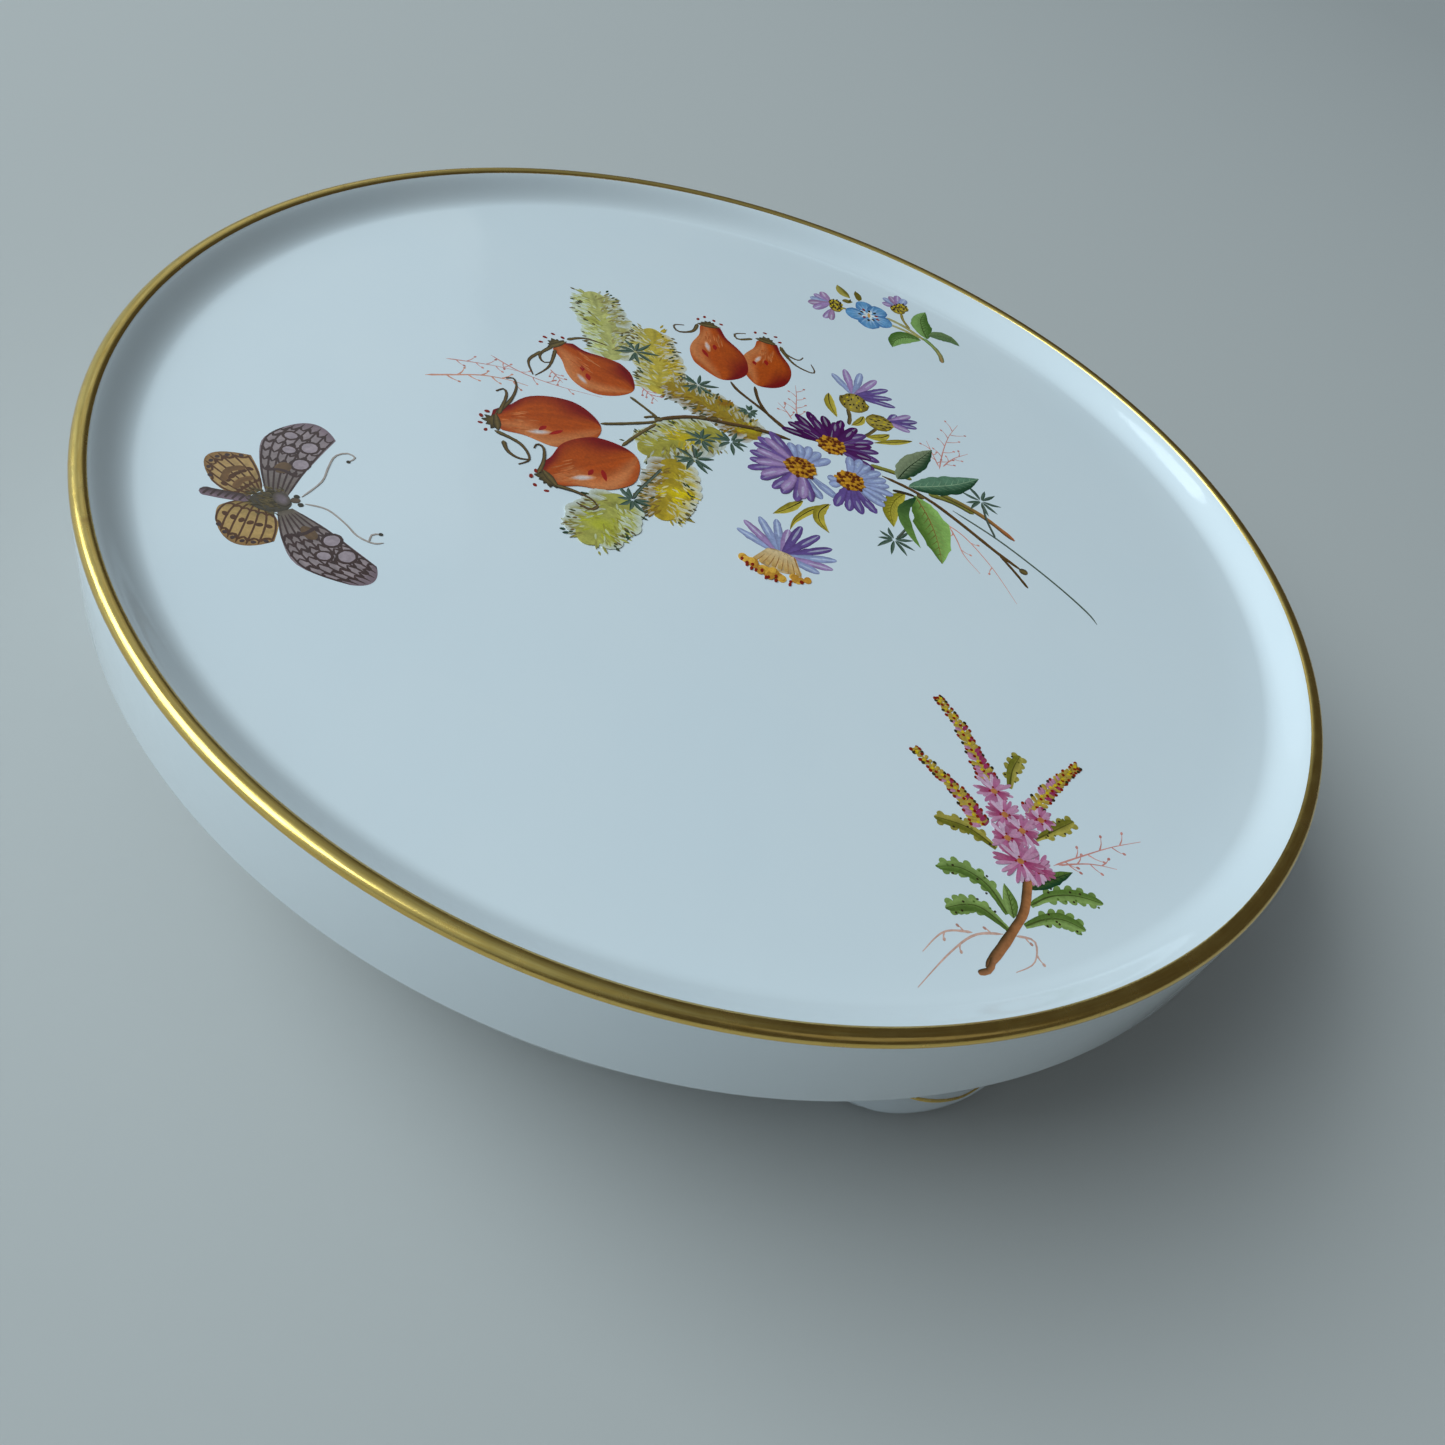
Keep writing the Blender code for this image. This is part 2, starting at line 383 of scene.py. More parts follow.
def make_body():
    floor = UNDERSIDE + FLOOR_THICKNESS
    top = body_high[2]
    outline = [(0.0, floor), (FLOOR_RING / 2, floor), (FLOOR_RING, floor)]
    outline += [(r, z) for r, z in belly(-WALL, 32)[::-1] if z > floor + 0.0001]
    outline += arc((NECK - WALL + RIM_EDGE, top - RIM_EDGE), (RIM_EDGE, RIM_EDGE), 180, 90, 6)
    outline += arc((NECK - RIM_EDGE, top - RIM_EDGE), (RIM_EDGE, RIM_EDGE), 90, 0, 6)
    outline += belly(0.0, 40)
    outline += [(FLOOR_RING, UNDERSIDE), (0.0, UNDERSIDE)]
    body = turned("body_porcelain", outline, porcelain("body_porcelain", (top - 0.0006, top - 0.0004)))
    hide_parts("box_body")
    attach(body, "box")


# ---- feet ------------------------------------------------------------------
FOOT_AZIMUTHS = {"front": -48.5, "right": 71.5, "left": 191.5}
FOOT_CENTRE = 0.0790
TOE_REACH = 0.01125
TOE_HALF_WIDTH = 0.0192
KNEE_TOP = 0.0250
GILT_HALF_ANGLE = 64.0
GILT_LOW = 0.0048
GILT_HIGH = 0.0100
# Stations are (height, share) of the toe's reach and half width, then a shift outward.
REACH_STATIONS = (
    (0.0, 0.66), (0.0010, 0.84), (0.0040, 1.0), (0.0078, 0.93), (0.0090, 0.84),
    (0.0120, 0.90), (0.0170, 0.80), (KNEE_TOP, 0.34),
)
WIDTH_STATIONS = (
    (0.0, 0.74), (0.0010, 0.88), (0.0040, 1.0), (0.0078, 0.90), (0.0090, 0.80),
    (0.0120, 0.82), (0.0170, 0.66), (KNEE_TOP, 0.24),
)
SHIFT_STATIONS = ((0.0, 0.0), (0.0090, 0.0), (KNEE_TOP, 0.0088))


def between(stations, height):
    for (z0, w0), (z1, w1) in zip(stations, stations[1:]):
        if height <= z1:
            t = max(0.0, (height - z0) / (z1 - z0))
            return w0 + (w1 - w0) * t * t * (3.0 - 2.0 * t)
    return stations[-1][1]


def clamp(value):
    return min(1.0, max(0.0, value))


def hill(value, width):
    return math.exp(-((value / width) ** 2))


def gilt_height(angle):
    """The gilt line is lowest at the foot's middle and curls up to both sides."""
    return GILT_LOW + (GILT_HIGH - GILT_LOW) * min(1.2, abs(angle) / GILT_HALF_ANGLE) ** 1.3


def carving(angle, height):
    """How far the foot's modelling stands out, in metres, at an angle off its middle."""
    if abs(angle) > 110.0:
        return 0.0
    mm = height * 1000.0
    line = (height - gilt_height(angle)) * 1000.0
    side = min(1.0, abs(angle) / 30.0)
    fade = min(1.0, mm / 1.5) * min(1.0, (110.0 - abs(angle)) / 20.0)
    out = -0.25 * hill(line, 0.45)
    out -= 0.40 * hill(line - 2.4, 0.5) * side
    out -= 0.9 * hill(angle, 7.0) * clamp((line - 0.6) / 3.0)
    out -= 0.45 * hill(mm - 3.1 - 0.035 * (abs(angle) - 45.0), 0.35) * clamp((abs(angle) - 36.0) / 12.0)
    out -= 0.35 * (1.0 - math.cos(math.radians(angle) * 10.0)) * clamp((line - 3.2) / 3.0)
    return out * fade * 0.001


def foot_point(azimuth, angle, height, lift=0.0):
    """A point on a foot's carved surface, kept from going more than 1.5 mm into the body."""
    grow = carving(angle, height) + lift
    a = math.radians(angle)
    reach = TOE_REACH * between(REACH_STATIONS, height) + grow
    half = TOE_HALF_WIDTH * between(WIDTH_STATIONS, height) + grow
    x = FOOT_CENTRE + between(SHIFT_STATIONS, height) + reach * math.cos(a)
    y = half * math.sin(a)
    r = math.hypot(x, y)
    across = max(0.0, r - BELLY_CENTRE[0]) / (BELLY_RADIUS - 0.0015)
    up = (BELLY_CENTRE[1] - height) / (BELLY_HEIGHT - 0.0015)
    inside = math.hypot(across, up)
    if inside < 1.0:
        if across > 0.35:
            push = (BELLY_CENTRE[0] + (r - BELLY_CENTRE[0]) / inside) / r
            x, y = x * push, y * push
        height = BELLY_CENTRE[1] - (BELLY_CENTRE[1] - height) / inside
    turn = math.radians(azimuth)
    return (x * math.cos(turn) - y * math.sin(turn), x * math.sin(turn) + y * math.cos(turn), height)


def solid(name, rings, material):
    """A closed piece lofted through rings of points, with both ends capped."""
    bm = bmesh.new()
    loops = [[bm.verts.new(p) for p in ring] for ring in rings]
    for low, high in zip(loops, loops[1:]):
        for i in range(len(low)):
            j = (i + 1) % len(low)
            bm.faces.new((low[i], low[j], high[j], high[i]))
    bm.faces.new(loops[0])
    bm.faces.new(loops[-1])
    bmesh.ops.recalc_face_normals(bm, faces=bm.faces)
    mesh = bpy.data.meshes.new(name)
    bm.to_mesh(mesh)
    bm.free()
    return smooth_piece(mesh, material)


def make_foot(place, azimuth):
    heights = [0.0, 0.0002, 0.0005, 0.0009] + list(np.linspace(0.0014, KNEE_TOP, 60))
    rings = [[foot_point(azimuth, 360.0 * i / 180 - 180.0, z) for i in range(180)] for z in heights]
    foot = solid("foot_" + place + "_porcelain", rings,
                 porcelain("foot_porcelain_" + place, (0.0003, 0.0001)))
    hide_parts("foot_" + place)
    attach(foot, "box")
    rings = []
    for i in range(81):
        share = 2.0 * i / 80 - 1.0
        angle = GILT_HALF_ANGLE * share
        half = 0.00010 + 0.00022 * (1.0 - abs(share) ** 3)
        line = gilt_height(angle)
        ring = [
            foot_point(azimuth, angle, line + half * k, GILT_FILM + 0.00003 * (1 - k * k))
            for k in (-1, -0.5, 0, 0.5, 1)
        ]
        ring += [foot_point(azimuth, angle, line + half * k, -0.00015) for k in (1, 0, -1)]
        rings.append(ring)
    film = solid("foot_" + place + "_gold_line", rings, gilding("foot_gold_" + place))
    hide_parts("foot_" + place + "_gilding")
    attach(film, "box")


# ---- enamel painting -------------------------------------------------------
# Marks are given in millimetres from the middle of the lid, +X right and +Y away.
CELL = 0.25  # mm, the cells in which the height of the marks so far is kept
GAP = 0.0005  # mm between a mark and the one under it
ROW_SPACING = 0.45  # mm between the rows of points along a mark
ROW_LIMITS = (7, 26)
COLOUR_LIMITS = (0.002, 0.95)
HALF_GRID = 400  # cells
painted_height = np.zeros((2 * HALF_GRID, 2 * HALF_GRID))
random = np.random.default_rng(7)


def enamel(red, green, blue):
    """The base colour of an enamel, from its look beside porcelain that looks like LIT."""
    shares = []
    for value, lit, base in zip((red, green, blue), LIT, PORCELAIN):
        share = ((value / 255) ** 2.2 - GLOSS) / ((lit / 255) ** 2.2 - GLOSS)
        shares.append(min(0.95, max(0.003, share * base)))
    return tuple(shares)


def even(t):
    return np.clip(np.minimum(t, 1.0 - t) * 14.0, 0.12, 1.0) ** 0.5


def leaf(t):
    return np.clip(np.sin(math.pi * t ** 0.85), 0.03, 1.0) ** 0.85


def petal(t):
    return (0.35 + 0.65 * np.sin(0.5 * math.pi * t)) * np.sqrt(np.clip(1.0 - t ** 5, 0.02, 1.0))


def oval(t):
    return np.sqrt(np.clip(1.0 - (2.0 * t - 1.0) ** 2, 0.01, 1.0))


def whip(t):
    return np.clip(t * 20.0, 0.3, 1.0) * (1.0 - 0.72 * t)


def blend(first, second, share):
    """One or many colours on the way from first to second."""
    share = np.asarray(share, float)[..., None]
    return np.asarray(first) * (1.0 - share) + np.asarray(second) * share


def mixed(first, second, share):
    return tuple(blend(first, second, share))


def soften(value, low, high):
    t = np.clip((value - low) / (high - low), 0.0, 1.0)
    return t * t * (3.0 - 2.0 * t)


def direction(start, end):
    """The heading from one point to another, in degrees."""
    return math.degrees(math.atan2(end[1] - start[1], end[0] - start[0]))


def shift(origin, angle, length):
    a = math.radians(angle)
    return (origin[0] + length * math.cos(a), origin[1] + length * math.sin(a))


def cells_under(grid):
    """The cells of painted_height that a grid of points covers, with the cells beside them."""
    for axis in (0, 1):
        gap = np.abs(np.diff(grid, axis=axis)).max()
        steps = int(gap / CELL) + 1
        first = np.take(grid, range(grid.shape[axis] - 1), axis=axis)
        second = np.take(grid, range(1, grid.shape[axis]), axis=axis)
        parts = [first + (second - first) * k / steps for k in range(steps + 1)]
        grid = np.concatenate(parts, axis=axis)
    cells = np.unique(np.round(grid.reshape(-1, 2) / CELL).astype(int) + HALF_GRID, axis=0)
    near = np.unique(np.concatenate([cells + (i, j) for i in (0, 1) for j in (0, 1)]), axis=0)
    return near[:, 0], near[:, 1]


def sweep(path, steps, count=None):
    """Shares of a path's length, close together at its ends, and the point, scale and left side at each."""
    curve = smooth_curve(path, steps)
    gaps = np.linalg.norm(np.diff(curve[:, :2], axis=0), axis=1)
    run = np.concatenate([[0.0], np.cumsum(gaps)])
    count = count or int(np.clip(run[-1] / ROW_SPACING, *ROW_LIMITS))
    t = (1.0 - np.cos(np.linspace(0.0, math.pi, count))) / 2
    x, y, scale = (np.interp(t * run[-1], run, curve[:, k]) for k in range(3))
    spots = np.stack([x, y], axis=1)
    slope = np.gradient(spots, axis=0)
    slope /= np.linalg.norm(slope, axis=1)[:, None] + 1e-9
    return t, spots, scale, np.stack([-slope[:, 1], slope[:, 0]], axis=1)


class Painting:
    """Enamel marks gathered into one piece, each a closed low dome set into the glaze."""

    def __init__(self, name):
        self.name = name
        self.points, self.faces, self.colours = [], [], []

    def patch(self, grid, colours, rise=0.001):
        """One mark from rows of (x, y) points with a colour each; its edges run down into the glaze."""
        colours = np.clip(colours, *COLOUR_LIMITS)
        along = grid[1:, :-1] - grid[:-1, :-1]
        across = grid[:-1, 1:] - grid[:-1, :-1]
        if (across[..., 0] * along[..., 1] - across[..., 1] * along[..., 0]).sum() < 0:
            grid, colours = grid[:, ::-1], colours[:, ::-1]
        rows, columns = grid.shape[:2]
        u = np.linspace(-1, 1, rows)[:, None]
        v = np.linspace(-1, 1, columns)[None, :]
        covered = cells_under(grid)
        height = painted_height[covered].max() + GAP + rise * (1.0 - u ** 6) * (1.0 - v ** 2)
        painted_height[covered] = height.max()
        grid = np.concatenate([grid[:, :1], grid, grid[:, -1:]], axis=1)
        colours = np.concatenate([colours[:, :1], colours, colours[:, -1:]], axis=1)
        height = np.pad(height, ((0, 0), (1, 1)), constant_values=-0.02)
        columns += 2
        start = len(self.points)
        for p, z in zip(grid.reshape(-1, 2), height.reshape(-1)):
            self.points.append((p[0] / 1000, p[1] / 1000, TOP + z / 1000))
        self.colours += [tuple(c) for c in colours.reshape(-1, 3)]
        index = start + np.arange(rows * columns).reshape(rows, columns)
        for i in range(rows - 1):
            for j in range(columns - 1):
                self.faces.append((index[i, j], index[i, j + 1], index[i + 1, j + 1], index[i + 1, j]))
            self.faces.append((index[i, 0], index[i + 1, 0], index[i + 1, -1], index[i, -1]))
        self.faces.append(tuple(index[0, ::-1]))
        self.faces.append(tuple(index[-1]))

    def stroke(self, path, width, colour, end=None, shade=None, rim=None, form=even, columns=3,
               streak=0.06, rise=0.001, soft=None):
        """A brush mark along a path. It turns to end along it, to shade at its right side and
        to rim at both edges; soft is a colour that it fades into all round."""
        path = [p if len(p) == 3 else (*p, 1.0) for p in path]
        t, spots, scale, side = sweep(path, 8)
        count = len(t)
        s = np.linspace(-1.0, 1.0, columns)
        half = width / 2 * scale * form(t) * (1.0 + 0.05 * random.standard_normal(count))
        grid = spots[:, None] - side[:, None] * (half[:, None] * s[None, :])[..., None]
        tint = blend(colour, end or colour, np.repeat(t[:, None], columns, 1))
        if shade:
            tint = blend(tint, shade, soften(s, -0.5, 0.9)[None, :] * np.ones_like(t)[:, None])
        if rim:
            tint = blend(tint, rim, (np.abs(s) ** 2)[None, :] * np.ones_like(t)[:, None])
        tint = tint * (1.0 + streak * random.standard_normal((1, columns, 1)))
        tint = tint * (1.0 + 0.5 * streak * random.standard_normal((count, 1, 1)))
        if soft:
            reach = np.hypot(2.0 * t[:, None] - 1.0, s[None, :])
            tint = blend(tint, soft, soften(reach, 0.25, 1.0))
        self.patch(grid, tint, rise)

    def dot(self, place, size, colour, angle=0.0, stretch=1.0, **more):
        """A round or oval touch of the brush."""
        half = size * stretch / 2
        self.stroke([shift(place, angle, -half), shift(place, angle, half)], size, colour,
                    form=oval, **more)

    def build(self, material):
        mesh = bpy.data.meshes.new(self.name)
        mesh.from_pydata(self.points, [], [tuple(int(k) for k in f) for f in self.faces])
        colours = mesh.attributes.new("enamel", "FLOAT_COLOR", "POINT")
        flat = np.concatenate([np.array(self.colours), np.ones((len(self.colours), 1))], axis=1)
        colours.data.foreach_set("color", flat.astype(np.float32).reshape(-1))
        ob = smooth_piece(mesh, material, 20.0)
        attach(ob, "lid")


# ---- colours of the painting -----------------------------------------------
WHITE = enamel(*LIT)
BROWN = enamel(92, 72, 50)
OLIVE_BROWN = enamel(104, 92, 62)
DARK = enamel(58, 54, 44)
RED_BROWN = enamel(118, 46, 28)
HIP_DARK = enamel(108, 38, 24)
HIP_ORANGE = enamel(153, 74, 36)
HIP_LIGHT = enamel(178, 116, 76)
GREY_GREEN = enamel(84, 100, 94)
DARK_GREEN = enamel(42, 66, 50)
GREEN = enamel(98, 132, 70)
LIME = enamel(152, 158, 84)
PALE_LIME = enamel(166, 176, 112)
YELLOW = enamel(178, 162, 44)
OCHRE = enamel(126, 102, 42)
PINK_LINE = enamel(176, 128, 124)
PURPLE = enamel(94, 80, 136)
DEEP_PURPLE = enamel(62, 36, 74)
LIGHT_BLUE = enamel(134, 150, 192)
LILAC = enamel(146, 126, 174)
DISC = enamel(156, 112, 44)
BLUE = enamel(92, 140, 186)
MAGENTA = enamel(138, 52, 94)
PINK = enamel(166, 120, 152)
PALE_PINK = enamel(176, 152, 178)
STEM_GREEN = enamel(128, 130, 66)
WARM_PINK_LINE = enamel(190, 136, 124)
WING_ROOT = enamel(86, 80, 70)
WING_MARGIN = enamel(106, 94, 104)
WING_SPOT = enamel(138, 130, 140)
OLIVE = enamel(148, 142, 76)


# ---- the main bouquet ------------------------------------------------------
def hip(paint, path, width, highlight, marks):
    """A rose hip from its calyx to its stem end, modelled with dark, orange and light brush bands."""
    rows, columns = 34, 25
    t, spots, scale, side = sweep(path, 10, rows)
    s = np.linspace(-1.0, 1.0, columns)
    half = width / 2 * scale * np.sqrt(np.clip(1.0 - np.clip((t - 0.72) / 0.28, 0, 1) ** 2.2, 0.003, 1))
    half = half * np.clip(0.35 + t * 12.0, 0, 1) * (1.0 - 0.22 * np.exp(-(((t - 0.2) / 0.14) ** 2)))
    grid = spots[:, None] - side[:, None] * (half[:, None] * s[None, :])[..., None]
    lit = s[None, :] + 0.25 * np.sin(7.0 * t[:, None] + 2.0 * s[None, :])
    tint = blend(HIP_DARK, HIP_ORANGE, soften(lit, -1.0, -0.25))
    tint = blend(tint, HIP_LIGHT, 0.95 * soften(lit, 0.0, 0.7) * (0.4 + 0.6 * np.sin(math.pi * t[:, None])))
    tint = blend(tint, HIP_ORANGE, 0.8 * soften(lit, 0.75, 1.05))
    tint = blend(tint, HIP_DARK, 0.35 * soften(0.12 - t[:, None], 0.0, 0.12) * np.ones_like(lit))
    streaks = 0.05 * random.standard_normal((1, columns, 1))
    tint = tint * (1.0 + streaks + 0.02 * random.standard_normal((rows, columns, 1)))
    paint.patch(grid, tint, 0.006)
    place, angle, size = highlight
    paint.dot(place, size * 0.85, mixed(WHITE, HIP_LIGHT, 0.4), angle, 3.0, columns=9, soft=HIP_LIGHT)
    for start, turn, length in marks:
        paint.stroke([start, shift(start, turn, length * 1.3)], 0.85, enamel(136, 42, 20), form=leaf)
    for _ in range(14):
        place = shift(path[1], random.uniform(0, 360), random.uniform(0.5, width * 0.22))
        turn = direction(path[0], path[-1])
        paint.stroke([place, shift(place, turn, random.uniform(1.5, 3.0))], 0.28, HIP_ORANGE,
                     end=HIP_LIGHT, form=leaf, streak=0.12)


def calyx(paint, place, angle):
    """The dry brown crown of a hip, with stray dots of orange pollen round it."""
    place = shift(place, angle, -1.6)
    for turn in (-75, -40, -10, 25, 60, 85):
        paint.stroke([place, shift(place, angle + turn, random.uniform(1.6, 2.5))], 1.1, OLIVE_BROWN,
                     end=DARK, form=leaf)
    across = angle + 90
    paint.stroke([shift(place, across, 2.2), place, shift(place, across, -2.2)], 1.3, OLIVE_BROWN,
                 rim=DARK, form=leaf)
    for turn in (-62, -28, 12, 50):
        spot = shift(place, angle + turn, random.uniform(2.3, 3.3))
        paint.dot(spot, 0.62, RED_BROWN, random.uniform(0, 180), 1.4)


def sepal(paint, path):
    paint.stroke(path, 0.8, OLIVE_BROWN, end=BROWN, rim=DARK, form=whip)


def tuft(paint, path, width, left, right, glow=()):
    """A feathery flower head: soft lobes along a stem, short hairs over them and dark ticks."""
    curve = smooth_curve(path, 8)
    length = np.linalg.norm(np.diff(curve, axis=0), axis=1).sum()
    count = int(length / 1.5)
    for k in range(count):
        t = (k + 0.5) / count
        centre = curve[int(t * (len(curve) - 1))]
        at = int(t * len(curve))
        heading = direction(curve[max(0, at - 1)], curve[min(len(curve) - 1, at + 1)])
        reach = width * 0.27 * (0.75 + 0.5 * math.sin(math.pi * t))
        for sign, colour in ((1, left), (-1, right)):
            turn = heading + sign * 90
            lobe = shift(centre, turn, reach * random.uniform(0.8, 1.1))
            edge = mixed(colour, WHITE, 0.6)
            paint.dot(lobe, width * 0.44, colour, turn, 1.15, columns=9, soft=edge, streak=0.1)
        paint.dot(shift(centre, heading, 0.3), width * 0.5, mixed(left, right, 0.5), heading, 1.2,
                  columns=7, streak=0.12)
    for place, size, colour in glow:
        paint.dot(place, size, colour, 20, 1.4, columns=9, soft=mixed(left, right, 0.5))
    for k in range(int(length * 13)):
        t = random.uniform(0.02, 0.98)
        centre = curve[int(t * (len(curve) - 1))]
        heading = direction(curve[0], curve[-1])
        sign = 1 if random.random() < 0.5 else -1
        turn = heading + sign * random.uniform(25, 95)
        start = shift(centre, turn, width * random.uniform(0.02, 0.44))
        colour = left if sign > 0 else right
        near = [tint for place, size, tint in glow if math.dist(place, start) < 0.7 * size]
        if near:
            colour = near[0]
        if random.random() < 0.3:
            colour = mixed(colour, WHITE, 0.35)
        elif random.random() < 0.45:
            colour = mixed(colour, OLIVE_BROWN, 0.4)
        paint.stroke([start, shift(start, turn, random.uniform(0.9, 2.0))], 0.38, colour, form=leaf,
                     streak=0.1)
    for k in range(int(length * 3.0)):
        t = random.uniform(0.0, 1.0)
        centre = curve[int(t * (len(curve) - 1))]
        heading = direction(curve[0], curve[-1])
        sign = 1 if k % 2 else -1
        turn = heading + sign * random.uniform(35, 95)
        start = shift(centre, turn, width * random.uniform(0.36, 0.5))
        paint.stroke([start, shift(start, turn, random.uniform(0.6, 1.2))], 0.42,
                     mixed(DARK_GREEN, OLIVE_BROWN, random.random()), form=leaf)


def star(paint, place, reach, turn):
    """A whorl of narrow grey-green leaves."""
    rays = 9
    for k in range(rays):
        angle = turn + 360.0 * k / rays + random.uniform(-12, 12)
        tip = shift(place, angle, reach * random.uniform(0.75, 1.12))
        bend = shift(shift(place, angle, reach * 0.5), angle + 90, random.uniform(-0.25, 0.25))
        paint.stroke([shift(place, angle, 0.3), bend, tip], 0.74, GREY_GREEN, shade=DARK_GREEN, form=leaf)


def hairs(paint, path, colour=PINK_LINE, width=0.3, twigs=6, length=1.9):
    """A hair-thin sprig with short side twigs and buds."""
    bud = mixed(colour, RED_BROWN, 0.3)
    curve = smooth_curve(path, 8)
    paint.stroke(path, width, colour, form=whip)
    for k in range(twigs):
        at = int((0.2 + 0.75 * k / twigs) * (len(curve) - 2))
        heading = direction(curve[at], curve[at + 1])
        turn = heading + (48 if k % 2 else -48)
        tip = shift(curve[at], turn, length * random.uniform(0.7, 1.1))
        paint.stroke([tuple(curve[at]), shift(curve[at], turn - 8, length * 0.5), tip], width * 0.8, colour,
                     form=whip)
        paint.dot(tip, 0.42, bud if k % 3 == 0 else colour, turn, 1.4)


def twig(paint, path, width=0.8, colour=OLIVE_BROWN, end=None):
    paint.stroke(path, width, colour, end=end, shade=DARK, form=even, streak=0.1)


def paint_tufts(paint):
    tuft(paint, [(-31.5, 25.5), (-34, 32), (-37.5, 37.5), (-39.6, 41.2)], 9.0, PALE_LIME,
         enamel(146, 146, 94), [((-37, 34), 3.0, LIME)])
    tuft(paint, [(-21.5, 20.5), (-23, 27), (-25.5, 32), (-27, 36.5)], 8.4, enamel(162, 156, 80),
         enamel(166, 148, 54))
    tuft(paint, [(-3.5, 17.5), (-9, 20), (-14, 21.5), (-19, 22.5)], 8.0, OCHRE, enamel(140, 126, 54),
         [((-10, 23.5), 2.6, enamel(132, 98, 32)), ((-4, 18.5), 3.0, enamel(158, 144, 44))])
    tuft(paint, [(-10, 13), (-13, 10), (-15.5, 6.5), (-18, 3)], 9.5, enamel(130, 126, 64),
         enamel(148, 146, 68), [((-14, 9), 3.4, YELLOW)])
    tuft(paint, [(-13.5, 0.5), (-12.6, -4), (-12.3, -8), (-11.8, -11.5)], 8.6, enamel(166, 152, 52),
         enamel(132, 110, 46), [((-11, -6), 4.0, enamel(186, 170, 36))])
    tuft(paint, [(-19, -13.5), (-19.5, -17), (-19.8, -20), (-20.2, -22.8)], 9.6, LIME, enamel(138, 138, 76),
         [((-19.5, -20), 4.6, enamel(150, 156, 60))])
    for place, reach, turn in (((-28, 29), 4.2, 20), ((-15.5, 26), 3.8, 100), ((-5.5, 23.8), 2.0, 10),
                               ((-6.4, 13), 3.6, 50), ((-11, 10.4), 3.0, 15), ((-10.8, 4.5), 3.6, 70),
                               ((-17, -11.6), 3.2, 30)):
        star(paint, place, reach, turn)
    twig(paint, [(-12, 8), (-11.3, 6), (-10.8, 4.8)], 0.4, GREY_GREEN)
    twig(paint, [(-15, -1.5), (-15.8, -5), (-16.8, -9), (-17, -11.3)], 0.45, GREY_GREEN)


def paint_stems(paint):
    for path in (((-48.8, 12), (-43, 10.4), (-36.7, 10.4), (-29, 11.8)),
                 ((-24, 19), (-22.5, 18), (-20.5, 16.6)), ((-39, 14.2), (-37.5, 13), (-36, 11.8))):
        hairs(paint, path, twigs=5)
    hairs(paint, ((-55.5, 0.2), (-51.7, 3), (-48, 5.6), (-44, 7), (-40.6, 7.4)), enamel(178, 132, 118), 0.5,
          7, 2.4)
    hairs(paint, ((-54.5, 6.5), (-51, 8), (-47, 9.5), (-43, 10.5)), twigs=6, length=2.2)
    hairs(paint, ((3.2, 27.2), (2.2, 30), (1.5, 34), (0.6, 37.7)), twigs=7, length=2.6)
    hairs(paint, ((2, 26.5), (0.5, 28.5), (-1.3, 30)), twigs=3)
    hairs(paint, ((29.8, 28.2), (29.9, 34), (30.5, 40), (31.8, 45)), twigs=8, length=3.0)
    hairs(paint, ((30.4, 29.5), (32, 33.2), (34.6, 36.6)), twigs=4)
    hairs(paint, ((29.6, 29), (28.2, 32), (26.5, 35.8)), twigs=4)
    hairs(paint, ((31.5, 13), (36, 11), (41.5, 5.3), (46.3, -1.8)), WARM_PINK_LINE, twigs=3)
    hairs(paint, ((33.5, 11.8), (35, 9), (36.5, 5.8), (39.6, 2.5)), WARM_PINK_LINE, twigs=2)
    twig(paint, [(-10.5, 31), (-8.6, 29), (-3.5, 26), (2, 22.6)], 0.7, BROWN)
    twig(paint, [(-6.2, 32.3), (-4.6, 28.3), (-2, 25), (2, 22.3)], 0.7, BROWN)
    twig(paint, [(-25, 15), (-22.4, 13.7), (-19.3, 12)], 0.65)
    twig(paint, [(-27.1, 4.5), (-24.6, 6.2), (-20.4, 9.5), (-19, 11)], 0.7)
    twig(paint, [(-22.3, 0.8), (-21.3, 4), (-20.2, 7), (-19, 10)], 0.65)
    twig(paint, [(-21.3, 10.6), (-20, 11.8), (-18.5, 12)], 0.6)
    twig(paint, [(-19.2, 11.4), (-15.5, 14.8), (-12.4, 16.6), (-7.6, 18), (-2.9, 19.4), (3, 20)], 0.95, BROWN)
    for knot in ((-12.4, 16.8), (-10.5, 17.7), (-19, 11.6), (-3, 19.5)):
        paint.dot(knot, 1.3, OLIVE_BROWN, 40, 1.2, rim=DARK)
    twig(paint, [(20, 19.6), (25.3, 18.8), (30, 17.2), (35.8, 13.9), (42, 10), (46.8, 7.5)], 0.85, BROWN)
    twig(paint, [(42.5, 9.6), (45.5, 6.4), (48, 3.4)], 0.6, BROWN)
    paint.dot((47, 7.4), 1.6, OLIVE_BROWN, rim=DARK)
    twig(paint, [(33.4, 17.2), (41.5, 13.9), (48, 10.3), (54, 6.4), (58.7, 2.7), (60.3, 0.6)], 0.42,
         GREY_GREEN)
    twig(paint, [(28.7, 19.3), (33, 19.6), (37.2, 18.5)], 1.2, STEM_GREEN)
    twig(paint, [(30, 20.8), (35, 20), (39.6, 18.4), (45, 15.1)], 1.1, enamel(120, 128, 70),
         enamel(170, 104, 70))
    twig(paint, [(17.5, 21.4), (21.5, 21.9), (25.3, 21.8)], 1.2, STEM_GREEN)
    star(paint, (38.2, 23.2), 4.2, 10)
    twig(paint, [(38.6, 22), (39.6, 18.2), (41.5, 14)], 0.45, GREY_GREEN)
    star(paint, (24.4, 3), 3.8, 30)
    twig(paint, [(24.8, 3.6), (26, 7.2), (26.3, 9.5)], 0.45, GREY_GREEN)


